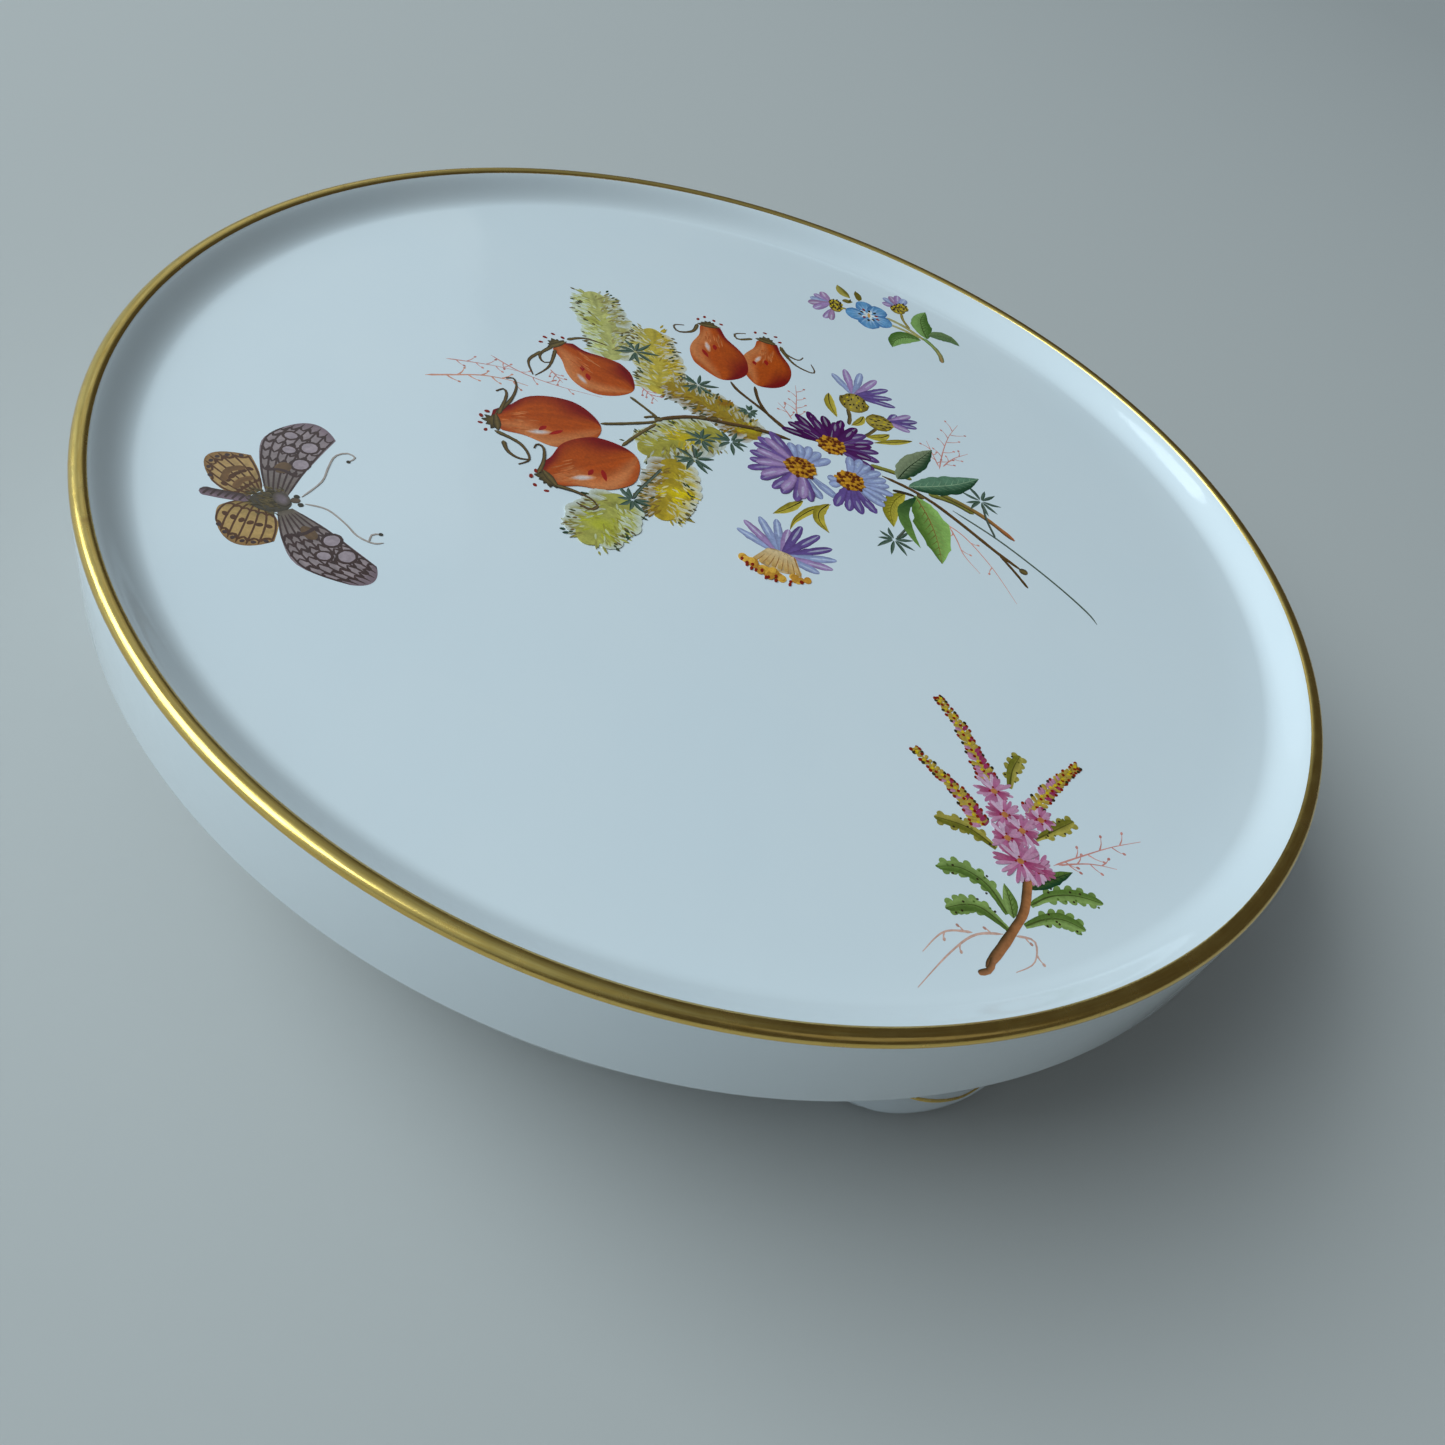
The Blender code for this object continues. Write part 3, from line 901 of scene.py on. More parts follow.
def paint_hips(paint):
    hip(paint, [(-40.2, 22.8, 0.36), (-36.6, 20.6, 0.66), (-31.6, 18.2, 1.0), (-27.8, 17.4, 0.86),
                (-25, 17, 0.6)], 11.6, ((-33.6, 14.9), 140, 1.4),
                (((-34.8, 18.8), 290, 1.4), ((-33.4, 17), 300, 1.6)))
    hip(paint, [(-7.4, 49.3, 0.36), (-6.4, 45.4, 0.74), (-5.6, 40.6, 1.0), (-5.4, 36.4, 0.9),
                (-5.8, 33, 0.6)], 9.6, ((-7.6, 41.6), 80, 1.3),
                (((-6.2, 42.4), 290, 1.4), ((-8.2, 40.6), 300, 1.0)))
    hip(paint, [(-18.5, 47.4, 0.34), (-16.9, 43.6, 0.64), (-14.8, 38.6, 1.0), (-12.9, 34.2, 0.94),
                (-12, 30.6, 0.6)], 10.6, ((-17, 39.6), 115, 1.4),
                (((-16, 41), 290, 1.4), ((-17.6, 38), 310, 2.0)))
    hip(paint, [(-42.4, -5, 0.3), (-39.4, -2.8, 0.72), (-35.5, -0.2, 1.0), (-31.3, 1.5, 0.98),
                (-26.6, 3.2, 0.66)], 13.0, ((-35, -3.6), 30, 1.8),
                (((-34.5, -1.4), 250, 1.5), ((-31.8, -1), 235, 2.2)))
    hip(paint, [(-30.5, -14, 0.3), (-28.7, -11.4, 0.72), (-25.8, -7.6, 1.0), (-22.8, -4.2, 1.0),
                (-19.6, -0.6, 0.66)], 12.3, ((-25.4, -10.9), 35, 1.8),
                (((-24.6, -8), 265, 1.4), ((-23.3, -7.2), 300, 2.2)))
    for place, angle in (((-41.8, 23), 150), ((-18.9, 48.3), 110), ((-7.5, 50.4), 95), ((-43, -5.6), 205),
                         ((-30.8, -15), 230)):
        calyx(paint, place, angle)
    for path in (((-39.5, 24.8), (-37, 27.2), (-33, 27.6)), ((-40.2, 20.5), (-39.5, 15), (-40.6, 11)),
                 ((-41, 21), (-42, 17.5), (-40.8, 15.6), (-39.6, 16.4)),
                 ((-42, 18.5), (-43, 14.5), (-41, 11)),
                 ((-20.5, 46), (-20.7, 42.8), (-23, 40.9), (-24.3, 42.5), (-22.6, 43.8)),
                 ((-10, 48), (-12.4, 46), (-13.4, 47.4), (-11.5, 49)),
                 ((-4.6, 49), (-2.9, 47), (-0.5, 46.6), (0.2, 48.2)),
                 ((-4.6, 48.4), (-1, 44.7), (2.4, 43.9), (3.1, 44.8), (2, 46.8)),
                 ((-42.4, -3), (-41.7, 1.4), (-42, 5.4), (-43.2, 7.8), (-44.4, 7.2)),
                 ((-42, -3), (-42.6, 2.3), (-43.6, 4.1), (-44.5, 2.8)),
                 ((-41, -7.3), (-36.5, -8.2), (-34, -11), (-35, -13.2)),
                 ((-39, -9), (-37.6, -11), (-35.6, -11.8), (-34, -11.2)),
                 ((-31.7, -13.6), (-31.9, -10.5), (-33, -7.2), (-34.2, -6.8), (-34.3, -8)),
                 ((-28.4, -15), (-25.4, -14.7), (-22.5, -15.2), (-21.2, -16.4)),
                 ((-21.2, -16.2), (-22, -17.6), (-24.4, -17.2))):
        sepal(paint, path)


def aster(paint, centre, disc, fans):
    """A daisy flower: fans of petals from one heading to another, then its dotted middle."""
    for first, last, count, reach, colour in fans:
        dark = mixed(colour, DEEP_PURPLE, 0.45)
        light = mixed(colour, WHITE, 0.26)
        for k in range(count):
            angle = first + (last - first) * k / max(1, count - 1) + random.uniform(-3, 3)
            tip = shift(centre, angle, reach * random.uniform(0.94, 1.06))
            middle = shift(shift(centre, angle, reach * 0.6), angle + 90, random.uniform(-0.3, 0.3))
            root = shift(centre, angle, disc * 0.7)
            paint.stroke([root, middle, tip], 2.2, colour, rim=dark, form=petal, columns=5, streak=0.08)
            paint.stroke([middle, shift(centre, angle, reach * 0.93)], 0.5, light, form=leaf)
            if k % 2:
                paint.stroke([shift(root, angle + 90, 0.3), shift(middle, angle + 90, 0.45)], 0.3, light,
                             form=whip)
    paint.dot(centre, disc * 2.0, DISC, random.uniform(0, 180), 1.0, columns=9,
              rim=mixed(DISC, BROWN, 0.5), rise=0.012)
    for k in range(40):
        angle = k * 137.5
        spot = shift(centre, angle, disc * math.sqrt((k + 1) / 40))
        colour = enamel(92, 54, 20) if k % 3 == 0 or 8 < k < 20 else enamel(178, 132, 50)
        paint.dot(spot, random.uniform(0.5, 0.75), colour, angle, 1.2, rise=0.006)


def side_petals(paint, base, tips, colours, width=1.9):
    for k, tip in enumerate(tips):
        colour = colours[k % len(colours)]
        dark = mixed(colour, DEEP_PURPLE, 0.4)
        middle = ((base[0] + tip[0]) / 2, (base[1] + tip[1]) / 2)
        paint.stroke([base, middle, tip], width, colour, rim=dark, form=petal, columns=5, streak=0.08)
        paint.stroke([middle, tip], 0.4, mixed(colour, WHITE, 0.4), form=leaf)


def cup(paint, centre, size, heading):
    """A flower's scaly green cup, with dark ticks."""
    paint.dot(centre, size, enamel(142, 130, 68), heading, 1.1, columns=9, rim=enamel(98, 86, 40), rise=0.004)
    for k in range(22):
        spot = shift(centre, k * 137.5, size * 0.46 * math.sqrt((k + 1) / 22))
        paint.stroke([spot, shift(spot, heading + random.uniform(-25, 25), 0.8)], 0.36,
                     DARK if k % 3 else YELLOW, form=leaf)


def simple_leaf(paint, path, width, colour, shade, rib=None):
    """A leaf in two tones with a midrib and fine side veins."""
    paint.stroke(path, width, colour, shade=shade, form=leaf, columns=7, streak=0.08)
    rib = rib or mixed(shade, DARK, 0.4)
    paint.stroke(path, 0.28, rib, form=whip)
    curve = smooth_curve(path, 8)
    for k in range(2, len(curve) - 3, 2):
        heading = direction(curve[k], curve[k + 1])
        reach = width * 0.4 * float(leaf(np.array(k / (len(curve) - 1))))
        for sign in (1, -1):
            paint.stroke([tuple(curve[k]), shift(curve[k], heading + sign * 42, reach)], 0.2,
                         mixed(colour if sign > 0 else shade, rib, 0.45), form=whip)


def paint_leaves(paint):
    pale = enamel(128, 158, 132)
    simple_leaf(paint, [(22.8, 20.4), (24.2, 25), (26.2, 29.6), (27.8, 33.4)], 4.6, enamel(120, 134, 110),
                DARK_GREEN)
    simple_leaf(paint, [(25, 19.4), (29, 22), (33.5, 25.6), (37.2, 29.8)], 5.2, enamel(90, 126, 106),
                DARK_GREEN, pale)
    simple_leaf(paint, [(24.6, 17), (23.2, 14), (22.8, 10.5), (23.9, 6.4)], 3.4, enamel(160, 154, 66),
                enamel(116, 114, 44))
    simple_leaf(paint, [(26.4, 17.4), (29.4, 12.5), (31.6, 7), (33, 1.4)], 6.2, enamel(120, 158, 90),
                enamel(76, 104, 54), enamel(120, 92, 60))
    paint.stroke([(26.6, 17), (24.9, 12), (26.6, 7), (29, 3.4)], 2.2, DARK_GREEN, end=GREEN, form=leaf)
    paint.dot((27.4, 17.8), 1.5, OLIVE_BROWN, rim=DARK)
    twig(paint, [(22.4, 16.5), (24.4, 17), (26.3, 17.2)], 0.8, DARK)
    olive = enamel(164, 154, 68)
    for path, width in ((((6.8, 39.4), (7.6, 36), (9.6, 32.5)), 2.0),
                        (((14.2, 36), (13.8, 33.6), (12.5, 31.6)), 1.7),
                        (((19.6, 33.2), (18, 31), (15.3, 29.7)), 1.9),
                        (((24, 33.9), (21, 31.5), (17.2, 28.7)), 1.5),
                        (((8.2, 4.2), (6, 0.4), (4.2, -2)), 1.9),
                        (((12.8, 6), (10, 2.7), (8, -1.5), (7.6, -4.5)), 1.4),
                        (((12.5, 6), (11.3, 3), (11.8, 0.5), (13.8, -1.6)), 2.2)):
        paint.stroke(path, width, olive, shade=enamel(126, 118, 50), form=leaf, columns=5, streak=0.1)
        paint.stroke(path, 0.25, DARK, form=whip)
    twig(paint, [(11, 36.5), (11.8, 34), (12, 31.5)], 0.8)
    twig(paint, [(17, 33.5), (16, 31), (14.6, 28.5)], 0.7)


def paint_asters(paint):
    violet = enamel(102, 84, 142)
    side_petals(paint, (11.4, 41.6),
                ((6.3, 46.6), (8.3, 49.7), (11.5, 50.4), (14.7, 50), (17.3, 48.1), (18.5, 45.4), (19.5, 43)),
                (LIGHT_BLUE, LILAC, LIGHT_BLUE, LILAC, PURPLE, PURPLE, PURPLE))
    cup(paint, (11.8, 39.2), 5.6, 90)
    side_petals(paint, (18.6, 37), ((20, 40.6), (22.6, 42), (24.1, 40.8), (24.3, 38.7), (23.2, 36.6)),
                (PURPLE, LILAC, PURPLE), 1.8)
    cup(paint, (17.3, 35.8), 4.9, 20)
    aster(paint, (10.1, 23), 2.6, ((70, 184, 7, 9.3, enamel(70, 38, 80)),
                                   (-16, 55, 5, 8.7, enamel(88, 66, 116)),
                                   (2, 160, 6, 7.8, enamel(76, 44, 90))))
    aster(paint, (6.1, 13), 2.8, ((50, 118, 5, 7.2, LIGHT_BLUE), (308, 328, 2, 8.5, LIGHT_BLUE),
                                  (136, 293, 11, 9.4, violet), (146, 284, 6, 8.4, LILAC)))
    aster(paint, (14.9, 14.6), 2.6, ((196, 226, 2, 4.3, LIGHT_BLUE), (262, 310, 4, 8.7, enamel(94, 80, 138)),
                                     (332, 462, 9, 7.4, LIGHT_BLUE)))
    tips = ((-0.4, -8.9), (0.2, -6.3), (2.3, -4), (5, -3.1), (7.4, -4.6), (9.2, -2.6), (12.4, -3.2),
            (14.9, -5.4), (16.1, -7.9), (15.9, -10.4), (14, -12.5))
    side_petals(paint, (7.6, -11.6), tips,
                (LIGHT_BLUE, LILAC, LIGHT_BLUE, LIGHT_BLUE, LILAC, PURPLE, PURPLE, PURPLE))
    paint.stroke([(7.5, -10.6), (7.4, -13), (7.3, -15.6)], 5.0, enamel(184, 168, 136),
                 rim=enamel(150, 120, 72), columns=7, rise=0.004, streak=0.12)
    for k in range(8):
        lean = k / 7 - 0.5
        paint.stroke([(7.4 + 3.6 * lean, -11), (7.4 + 7.6 * lean, -15)], 0.9, enamel(188, 172, 138),
                     end=enamel(170, 140, 84))
        paint.stroke([(7.7 + 3.6 * lean, -11), (7.7 + 7.6 * lean, -15.2)], 0.28, enamel(140, 104, 66),
                     form=whip)
    for k in range(44):
        x = 1.8 + 10.8 * random.random()
        y = -15.2 - 2.4 * math.sin(math.pi * (x - 1.8) / 10.8) * random.uniform(0.2, 1.0)
        paint.dot((x, y), random.uniform(0.9, 1.5), enamel(168, 126, 58) if k % 2 else enamel(192, 154, 70),
                  90, 1.2, rise=0.008)
    for k in range(16):
        x = 1.6 + 11.2 * random.random()
        y = -15.6 - 2.8 * math.sin(math.pi * (x - 1.6) / 11.2) * random.uniform(0.4, 1.1)
        paint.dot((x, y), 0.5, RED_BROWN, 90, 1.5, rise=0.006)


# ---- butterfly -------------------------------------------------------------
def wing(paint, lead, trail, bulge, root_colour, colour, margin, net, bands):
    """A wing between two edge curves from its root, with a rounded outer margin and a net of veins."""
    veins = 6
    count = 15  # points along the wing and across it
    lead, trail = smooth_curve(lead, 6), smooth_curve(trail, 6)
    t = np.linspace(0.0, 1.0, count)
    first, last = (
        np.stack([np.interp(t * (len(edge) - 1), np.arange(len(edge)), edge[:, k]) for k in (0, 1)], axis=1)
        for edge in (lead, trail)
    )

    def at(along, share):
        i = along * (count - 1)
        p = np.array([np.interp(i, np.arange(count), first[:, k]) for k in (0, 1)])
        q = np.array([np.interp(i, np.arange(count), last[:, k]) for k in (0, 1)])
        round_off = (1.0 - (2.0 * share - 1.0) ** 2) * along ** 3
        return p + (q - p) * share + np.array(bulge) * round_off

    shares = np.linspace(0.0, 1.0, count)
    grid = np.array([[at(a, s) for s in shares] for a in t])
    tint = np.array([[blend(root_colour, colour, min(1.0, a * 1.6)) for s in shares] for a in t])
    edge = soften(t, 0.82, 1.0)[:, None] + soften(np.abs(2 * shares - 1), 0.86, 1.0)[None, :] * 0.6
    tint = blend(tint, margin, np.clip(edge, 0, 1))
    tint = tint * (1.0 + 0.07 * random.standard_normal((count, count, 1)))
    paint.patch(grid, tint, 0.006)
    for k in range(veins + 1):
        share = 0.03 + 0.94 * k / veins
        paint.stroke([tuple(at(a, share)) for a in (0.08, 0.38, 0.7, 0.98)], 0.28, net, form=even)
    for b in range(bands):
        along = 0.36 + 0.56 * b / max(1, bands - 1)
        for k in range(veins):
            low, high = (0.03 + 0.94 * (k + j) / veins for j in (0, 1))
            middle = at(along - 0.055, (low + high) / 2)
            paint.stroke([tuple(at(along, low)), tuple(middle), tuple(at(along, high))],
                         random.uniform(0.28, 0.5), net, form=even)
    return at


def paint_butterfly(paint):
    net, mauve, ochre = enamel(66, 55, 54), enamel(130, 122, 128), enamel(156, 132, 90)
    dark_ochre = enamel(78, 56, 40)
    hind = wing(paint, [(-63.2, -38.6), (-65.3, -35.3), (-67.9, -32.6)],
                [(-64, -40.4), (-67, -41.3), (-69.6, -40.3)],
                (-3.9, 0.9), enamel(94, 84, 58), ochre, enamel(118, 92, 60), dark_ochre, 2)
    lower = wing(paint, [(-61, -41.4), (-58.4, -43.6), (-57.2, -47.2)],
                 [(-64.5, -41.6), (-66.4, -44.4), (-65.4, -47.2)],
                 (0.1, -2.9), enamel(100, 88, 52), enamel(158, 134, 88), enamel(122, 96, 64), dark_ochre, 2)
    for place in (hind, lower):
        for k in range(6):
            paint.dot(tuple(place(0.62, 0.14 + 0.14 * k)), 0.8, dark_ochre, 30 * k, 1.3)
            paint.dot(tuple(place(0.93, 0.1 + 0.16 * k)), 0.6, net, 30 * k, 1.2)
    fore = wing(paint, [(-59.8, -38.6), (-60.1, -33), (-60, -28), (-59.7, -23.2)],
                [(-62.4, -39.2), (-65.9, -34), (-68.3, -28.6), (-67.2, -24.4)], (-0.4, 2.5), WING_ROOT,
                mauve, WING_MARGIN, net, 6)
    front = wing(paint, [(-58.2, -40), (-53, -41.3), (-48, -43.3), (-43.9, -45)],
                 [(-59.6, -41.6), (-56.6, -46.4), (-52.5, -50), (-45.4, -50)], (1.6, -0.6), WING_ROOT,
                 mauve, WING_MARGIN, net, 7)
    for spot in ((-62, -26.8), (-61.4, -30.9), (-48, -45.2), (-51, -43.3)):
        paint.dot(spot, 2.9, net, 70, 1.1, columns=7)
        paint.dot(spot, 2.1, WING_SPOT, 70, 1.1, columns=5)
    for spot in ((-64.2, -28.7), (-50.6, -46.6), (-65.4, -25.6)):
        paint.dot(spot, 2.2, net, 20, 1.2, columns=7)
        paint.dot(spot, 1.5, WING_SPOT, 20, 1.2, columns=5)
    blotch = enamel(92, 76, 60)
    paint.dot((-63.1, -32.8), 2.2, blotch, 80, 1.2, columns=7, streak=0.12)
    paint.dot((-54.2, -43.4), 1.8, blotch, -30, 1.7, columns=7, streak=0.12)
    for place in (fore, front):
        paint.stroke([tuple(place(0.3, 0.1)), tuple(place(0.34, 0.5)), tuple(place(0.3, 0.9))], 0.6, net)
    for along in (0.42, 0.66):
        paint.stroke([tuple(hind(along, 0.2)), tuple(hind(along + 0.06, 0.5)), tuple(hind(along, 0.8))], 1.0,
                     enamel(104, 80, 54), streak=0.12)
    paint.stroke([(-63.4, -41), (-66, -41.8), (-68.2, -42.4), (-70, -42.8)], 1.7, enamel(104, 90, 100),
                 shade=net, columns=5)
    for k in range(6):
        x = -64.6 - 0.9 * k
        y = -41.4 - 0.23 * k
        paint.stroke([(x, y + 0.7), (x - 0.15, y - 0.7)], 0.34, net)
    paint.dot((-61.2, -40.2), 4.2, enamel(70, 66, 58), 20, 1.3, columns=7, rise=0.004)
    for k in range(90):
        start = shift((-61.3, -40.2), random.uniform(0, 360), random.uniform(0.2, 3.2))
        paint.stroke([start, shift(start, random.uniform(150, 230), random.uniform(0.6, 1.4))], 0.3,
                     mixed(DARK, OLIVE_BROWN, random.random() * 0.7), form=whip)
    paint.dot((-60.2, -39), 2.3, enamel(104, 96, 104), -40, 1.3, columns=7, soft=enamel(78, 72, 66))
    paint.dot((-58.6, -38.3), 1.2, enamel(84, 74, 64), 30, 1.1, columns=5)
    for eye in ((-58.8, -37.5), (-57.6, -38.8)):
        paint.dot(eye, 0.8, DARK)
    feeler = enamel(146, 142, 140)
    paint.stroke([(-58.2, -37.2), (-57.4, -32.8), (-58, -29.4), (-58.3, -26.6), (-57.2, -25), (-55.8, -25.3),
                  (-56.2, -26.7)], 0.26, feeler, form=even)
    paint.stroke([(-57.2, -38.3), (-54.3, -37.8), (-51, -39.2), (-48.6, -40.7), (-46.2, -41), (-45, -40.2)],
                 0.26, feeler, form=even)
    paint.stroke([(-46.8, -40.9), (-47, -39.4), (-46, -38.8)], 0.26, feeler, form=even)
    for knob in ((-56.2, -26.7), (-46, -38.8)):
        paint.dot(knob, 0.6, DARK)


# ---- small sprays ----------------------------------------------------------
def paint_blue_spray(paint):
    olive, stem = OLIVE, enamel(132, 136, 90)
    leaf_light, leaf_dark = enamel(112, 148, 90), enamel(66, 96, 50)
    paint.stroke([(13.4, 75.6), (17, 74.9), (20, 73.5), (22.4, 72.2)], 0.9, enamel(158, 160, 132), end=stem,
                 rim=olive)
    paint.stroke([(14, 73.4), (17.6, 73.2), (21, 72.4)], 0.8, enamel(160, 160, 140), end=stem, rim=olive)
    paint.stroke([(16.2, 79.6), (16.8, 77.4), (18.6, 74.6)], 0.7, olive, rim=OLIVE_BROWN)
    paint.stroke([(3.6, 72.8), (5, 72.9)], 0.6, olive, rim=OLIVE_BROWN)
    simple_leaf(paint, [(22.6, 73.2), (21.2, 76.6), (20.4, 80.2), (21, 84.2)], 4.2, leaf_light, leaf_dark)
    simple_leaf(paint, [(22.8, 74.8), (25, 76.4), (27.2, 76.6), (29.5, 75.4)], 3.3, enamel(96, 120, 84),
                enamel(80, 104, 74))
    simple_leaf(paint, [(21.4, 71.8), (18.4, 70.8), (16.4, 68), (16.1, 64.8)], 4.0, leaf_light, leaf_dark)
    paint.stroke([(21.8, 73), (24.4, 70.8), (26, 68.4), (26.6, 66)], 1.1, leaf_light,
                 end=enamel(150, 120, 90), rim=leaf_dark, columns=5)
    for path, width, colour in ((((5, 78), (3.2, 79.2), (1.6, 81.6)), 2.4, olive),
                                (((6.9, 78.2), (6.6, 79.8), (5.6, 81.8)), 1.7, enamel(96, 88, 44)),
                                (((3.7, 75.6), (4.6, 76.2), (5.8, 76.8)), 1.6, enamel(112, 104, 60)),
                                (((5.2, 77.6), (5.2, 76.8), (4.8, 76)), 0.5, DARK)):
        paint.stroke(path, width, colour, shade=enamel(96, 92, 44), form=leaf, columns=5)
    mauve = enamel(146, 122, 160)
    side_petals(paint, (1.4, 72.8), ((-0.9, 76.2), (-2.2, 74.2), (-2.7, 72), (-2.7, 69.8), (-1.2, 68.2)),
                (mauve, LILAC, LIGHT_BLUE), 2.3)
    side_petals(paint, (2.4, 71), ((1.4, 66), (2.8, 66.2)), (LILAC, mauve), 1.7)
    cup(paint, (2.6, 73.4), 3.0, 100)
    cup(paint, (2.9, 71.8), 2.8, 100)
    side_petals(paint, (15.2, 82), ((11.7, 81.2), (11.6, 83.6), (12.9, 85.4), (14.4, 86.8), (16.2, 86.4)),
                (LILAC, LIGHT_BLUE, mauve), 2.2)
    cup(paint, (15.2, 80.8), 3.2, 100)
    cup(paint, (16, 82.4), 2.8, 100)
    centre = (9.8, 73.8)
    edge = enamel(66, 106, 156)
    for angle in (114, 62, 350, 278, 208):
        place = shift(centre, angle, 3.0)
        paint.dot(place, 4.5, BLUE, angle, 0.98, columns=9, rim=edge, rise=0.004)
        for turn in (-22, -8, 8, 22):
            paint.stroke([shift(centre, angle + turn, 1.9), shift(centre, angle + turn, 4.3)], 0.55,
                         enamel(134, 164, 196), end=BLUE, form=whip)
    for k in range(5):
        angle = 86 + 72 * k
        paint.stroke([shift(centre, angle, 0.3), shift(centre, angle, 2.1)], 1.0, WHITE, form=leaf)
    for k in range(10):
        angle = 24 + 36 * k
        spot = shift(centre, angle, 1.2 + 0.4 * (k % 2))
        paint.stroke([spot, shift(spot, angle, 0.9)], 0.62, DARK if k % 3 else RED_BROWN, form=leaf)
    paint.stroke([shift(centre, 100, 0.9), shift(centre, -80, 1.2)], 0.7, enamel(176, 140, 90), form=leaf)


def spike(paint, path, width):
    """A pointed flower spike: buds in pairs up an olive stem, pink low down, each with a dark tip."""
    curve = smooth_curve(path, 8)
    count = len(curve)
    olive = enamel(158, 140, 68)
    paint.stroke(path, width * 0.3, olive, form=whip, columns=5)
    for k in range(count * 2):
        at = min(count - 2, k // 2)
        heading = direction(curve[at], curve[at + 1])
        sign = 1 if k % 2 else -1
        size = width * (1.0 - 0.66 * at / count)
        root = shift(curve[at], heading + sign * 90, size * 0.08)
        tip = shift(root, heading + sign * random.uniform(42, 66), size * random.uniform(0.36, 0.5))
        young = 0.25 + 0.75 * soften(at / count, 0.1, 0.75)
        colour = olive if random.random() < young else (MAGENTA, PINK)[k % 2]
        paint.stroke([root, tip], 0.36 + 0.2 * size, colour, shade=mixed(colour, OLIVE_BROWN, 0.4),
                     form=petal, columns=5)
        if random.random() < 0.7:
            paint.dot(tip, 0.5, RED_BROWN if k % 3 else DARK, heading, 1.2)
    for k in range(count):
        at = min(count - 2, k)
        paint.dot(shift(curve[at], random.uniform(0, 360), 0.3), 0.5, (YELLOW, RED_BROWN)[k % 2], rise=0.002)


def lobed_leaf(paint, path, width, colour, shade, lobes=5):
    """A soft leaf cut into round lobes down both sides, broadest near its tip."""
    curve = smooth_curve(path, 10)
    for k in range(lobes):
        share = k / (lobes - 1)
        at = int((0.3 + 0.56 * share) * (len(curve) - 2))
        heading = direction(curve[at], curve[at + 1])
        for sign in (1, -1):
            root = tuple(curve[at])
            tip = shift(root, heading + sign * 46, width * (0.62 + 0.14 * math.sin(math.pi * share)))
            paint.stroke([root, tip], width * 0.5, shade if sign > 0 else colour, form=petal, columns=5,
                         end=mixed(shade, colour, 0.7))
    paint.stroke(path, width * 0.85, shade, shade=colour, form=petal, columns=7, streak=0.1)
    paint.stroke(path, 0.3, mixed(shade, DARK, 0.5), form=whip)
    for k in range(lobes * 2):
        at = int((0.3 + 0.34 * k / lobes) * (len(curve) - 2))
        paint.dot(shift(curve[at], random.uniform(0, 360), width * 0.42), 0.36, shade if k % 2 else DARK)


def paint_pink_spray(paint):
    leaf_light, leaf_dark = enamel(118, 144, 88), enamel(82, 106, 58)
    for path in (((48, -68), (44.4, -69.6), (41.4, -73.6), (38, -80)),
                 ((44, -69.4), (40.4, -70.8), (38, -74.8)),
                 ((49.6, -67.6), (52.2, -67.4), (52.3, -70.6), (50, -73))):
        hairs(paint, path, enamel(176, 148, 140), 0.4, 2, 1.4)
    hairs(paint, ((54.3, -54), (58, -50.8), (62.6, -47), (67, -44)), twigs=6, length=2.6)
    hairs(paint, ((55, -53.6), (59.5, -51.4), (63.4, -50.6)), twigs=4)
    for path in (((48.4, -64.7), (45.4, -61.2), (41.6, -60), (38.4, -61.2)),
                 ((48.6, -67), (45, -65.2), (42.6, -65.6), (40.2, -67.2)),
                 ((51.4, -62), (54, -59.4), (57.4, -57.8), (61.4, -57.4)),
                 ((50.8, -65.6), (53.4, -63.4), (56, -62.4), (59, -62.8))):
        lobed_leaf(paint, path, 2.6, leaf_light, leaf_dark)
    simple_leaf(paint, [(49.2, -65), (48.6, -62.6), (47.6, -60)], 2.0, leaf_light, leaf_dark)
    simple_leaf(paint, [(51.2, -59.4), (54.2, -56.4), (57, -54)], 2.2, leaf_dark, DARK_GREEN)
    olive, deep = OLIVE, enamel(98, 100, 48)
    for path in (((47.4, -43), (47.6, -39.4), (48.6, -36)), ((51.6, -50.6), (54.4, -47.6), (57, -44.8)),
                 ((46.2, -54.6), (42, -52.8), (37.2, -53))):
        lobed_leaf(paint, path, 2.5, olive, deep, 4)
    twig(paint, [(50.8, -57), (50.6, -63), (49.3, -66.8), (47.8, -70.4), (46.2, -73.8)], 1.3,
         enamel(158, 108, 72), enamel(146, 104, 76))
    twig(paint, [(47, -72), (46.6, -74), (45.2, -75)], 0.9, enamel(150, 108, 80))
    spike(paint, [(44.4, -43), (41.8, -38.6), (38.9, -34), (35.4, -30.2)], 3.6)
    spike(paint, [(44, -51.6), (41.2, -48.2), (37.3, -45.1), (33, -42)], 3.3)
    spike(paint, [(50.4, -46.4), (53.1, -41), (55.2, -37.2), (57.4, -33.8)], 3.4)
    heads = (((45.2, -44.6), 3.0), ((52.2, -46.8), 2.2), ((47, -48.2), 2.9), ((49.6, -50), 2.9),
             ((47.6, -52.2), 2.8), ((52, -55.6), 2.9), ((49.6, -55.4), 3.6))
    for centre, reach in heads:
        for k in range(26):
            angle = 137.5 * k + random.uniform(-6, 6)
            colour = (PINK, MAGENTA, PALE_PINK, enamel(152, 86, 126))[k % 4]
            tip = shift(centre, angle, reach * random.uniform(0.7, 1.1))
            paint.stroke([shift(centre, angle, 0.3), tip], 0.75, colour,
                         end=mixed(colour, PALE_PINK, 0.3), form=petal)
        paint.dot(centre, 1.0, enamel(160, 110, 70), rise=0.004)
        for k in range(4):
            paint.dot(shift(centre, 90 * k + 20, 0.7), 0.34, RED_BROWN)


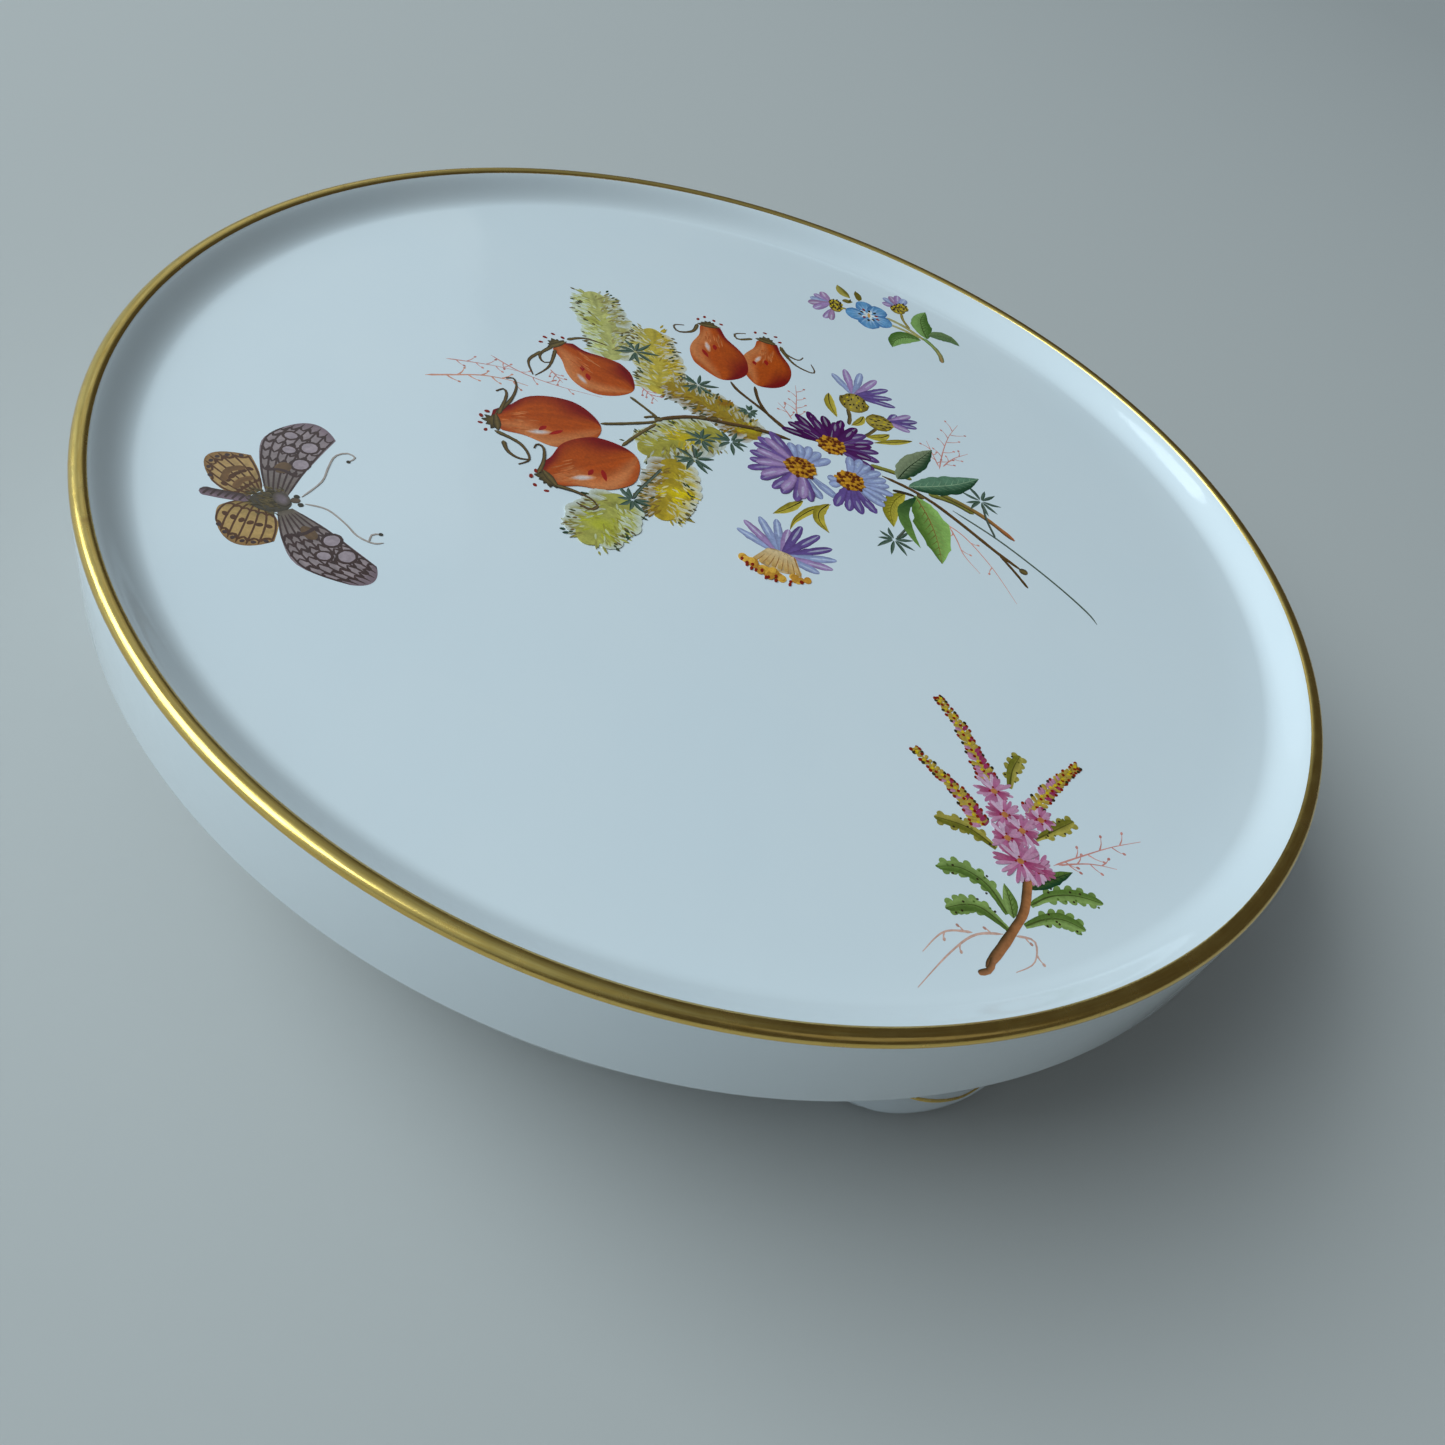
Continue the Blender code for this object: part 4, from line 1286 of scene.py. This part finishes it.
def paint_lid():
    glaze = enamels("painted_enamel")
    for name, draw in (("painted_tufts", paint_tufts), ("painted_stems", paint_stems),
                       ("painted_rose_hips", paint_hips), ("painted_leaves", paint_leaves),
                       ("painted_asters", paint_asters), ("painted_butterfly", paint_butterfly),
                       ("painted_blue_spray", paint_blue_spray), ("painted_pink_spray", paint_pink_spray)):
        paint = Painting(name)
        draw(paint)
        paint.build(glaze)


# ---- studio ----------------------------------------------------------------
FLOOR_NEAR = (0.54, 0.535, 0.52)
# painted light: the floor's colour far out, made paler because the lamps reach it less
FLOOR_FAR_PAINTED_LIGHT = (0.86, 0.86, 0.85)
FLOOR_RADIUS = 6.0


def make_floor():
    """A plain round floor, painted paler a long way out to stand in for the light that reaches it less there.
    """
    mesh = bpy.data.meshes.new("floor")
    corners = [math.tau * k / 96 for k in range(96)]
    points = [(FLOOR_RADIUS * math.cos(a), FLOOR_RADIUS * math.sin(a), 0.0) for a in corners]
    mesh.from_pydata(points, [], [range(len(points))])
    s = Shader("floor", FLOOR_NEAR, 0.9)
    distance = s.add("ShaderNodeVectorMath", operation="LENGTH")
    s.join(s.place(), distance.inputs[0])
    # painted light: the floor's colour turns paler with distance from the box
    colour = s.mix(s.spread(distance.outputs["Value"], 0.9, 3.0), FLOOR_NEAR, FLOOR_FAR_PAINTED_LIGHT)
    s.join(colour, s.main.inputs["Base Color"])
    mesh.materials.append(s.material)
    floor = place_object("floor", mesh)


ROOM_BRIGHT_SIDE = (-0.87, -0.05, 0.49)
ROOM_DARK = (0.065, 0.065, 0.06)
ROOM_LIGHT = (0.46, 0.58, 0.66)
BACKDROP = (0.21, 0.245, 0.26)  # what lies past the floor, as the camera sees it


def softbox(name, heading, height, distance, size, power, colour):
    """An area light at a heading (degrees from +X) and height angle, facing the box."""
    data = bpy.data.lights.new(name, "AREA")
    data.shape = "RECTANGLE"
    data.size, data.size_y = size
    data.energy = power
    data.color = colour
    ob = place_object(name, data)
    h, e = math.radians(heading), math.radians(height)
    place = Vector((math.cos(h) * math.cos(e), math.sin(h) * math.cos(e), math.sin(e))) * distance
    ob.location = place
    ob.rotation_euler = place.to_track_quat("Z", "Y").to_euler()


def make_light():
    """A large cool window at the left, a faint pane behind the box, a weak fill and a dim room."""
    world = bpy.data.worlds.new("studio")
    bpy.context.scene.world = world
    world.use_nodes = True
    tree = world.node_tree
    back = tree.nodes["Background"]
    back.inputs["Strength"].default_value = 1.0
    where = tree.nodes.new("ShaderNodeTexCoord")
    toward = tree.nodes.new("ShaderNodeVectorMath")
    toward.operation = "DOT_PRODUCT"
    toward.inputs[1].default_value = ROOM_BRIGHT_SIDE
    tree.links.new(where.outputs["Generated"], toward.inputs[0])
    ramp = tree.nodes.new("ShaderNodeValToRGB")
    ramp.color_ramp.elements[0].position = 0.60
    ramp.color_ramp.elements[0].color = (*ROOM_DARK, 1.0)
    ramp.color_ramp.elements[1].position = 0.92
    ramp.color_ramp.elements[1].color = (*ROOM_LIGHT, 1.0)
    spread = tree.nodes.new("ShaderNodeMapRange")
    spread.inputs["From Min"].default_value = -1.0
    tree.links.new(toward.outputs["Value"], spread.inputs["Value"])
    tree.links.new(spread.outputs["Result"], ramp.inputs["Fac"])
    seen = tree.nodes.new("ShaderNodeLightPath")
    plain = tree.nodes.new("ShaderNodeMix")
    plain.data_type = "RGBA"
    plain.inputs[7].default_value = (*BACKDROP, 1.0)
    tree.links.new(seen.outputs["Is Camera Ray"], plain.inputs[0])
    tree.links.new(ramp.outputs["Color"], plain.inputs[6])
    tree.links.new(plain.outputs[2], back.inputs["Color"])
    softbox("window", -170.0, 43.5, 2.0, (1.85, 1.23), 31.0, (0.81, 0.95, 1.0))
    softbox("pane", 116.0, 33.0, 1.5, (0.34, 0.55), 0.16, (0.88, 0.96, 1.0))
    softbox("fill", -30.0, 50.0, 1.5, (0.8, 0.8), 0.4, (0.90, 0.96, 1.0))


bpy.context.scene.view_settings.view_transform = "Standard"
make_lid()
make_rim()
make_body()
for place, azimuth in FOOT_AZIMUTHS.items():
    make_foot(place, azimuth)
paint_lid()
make_floor()
make_light()
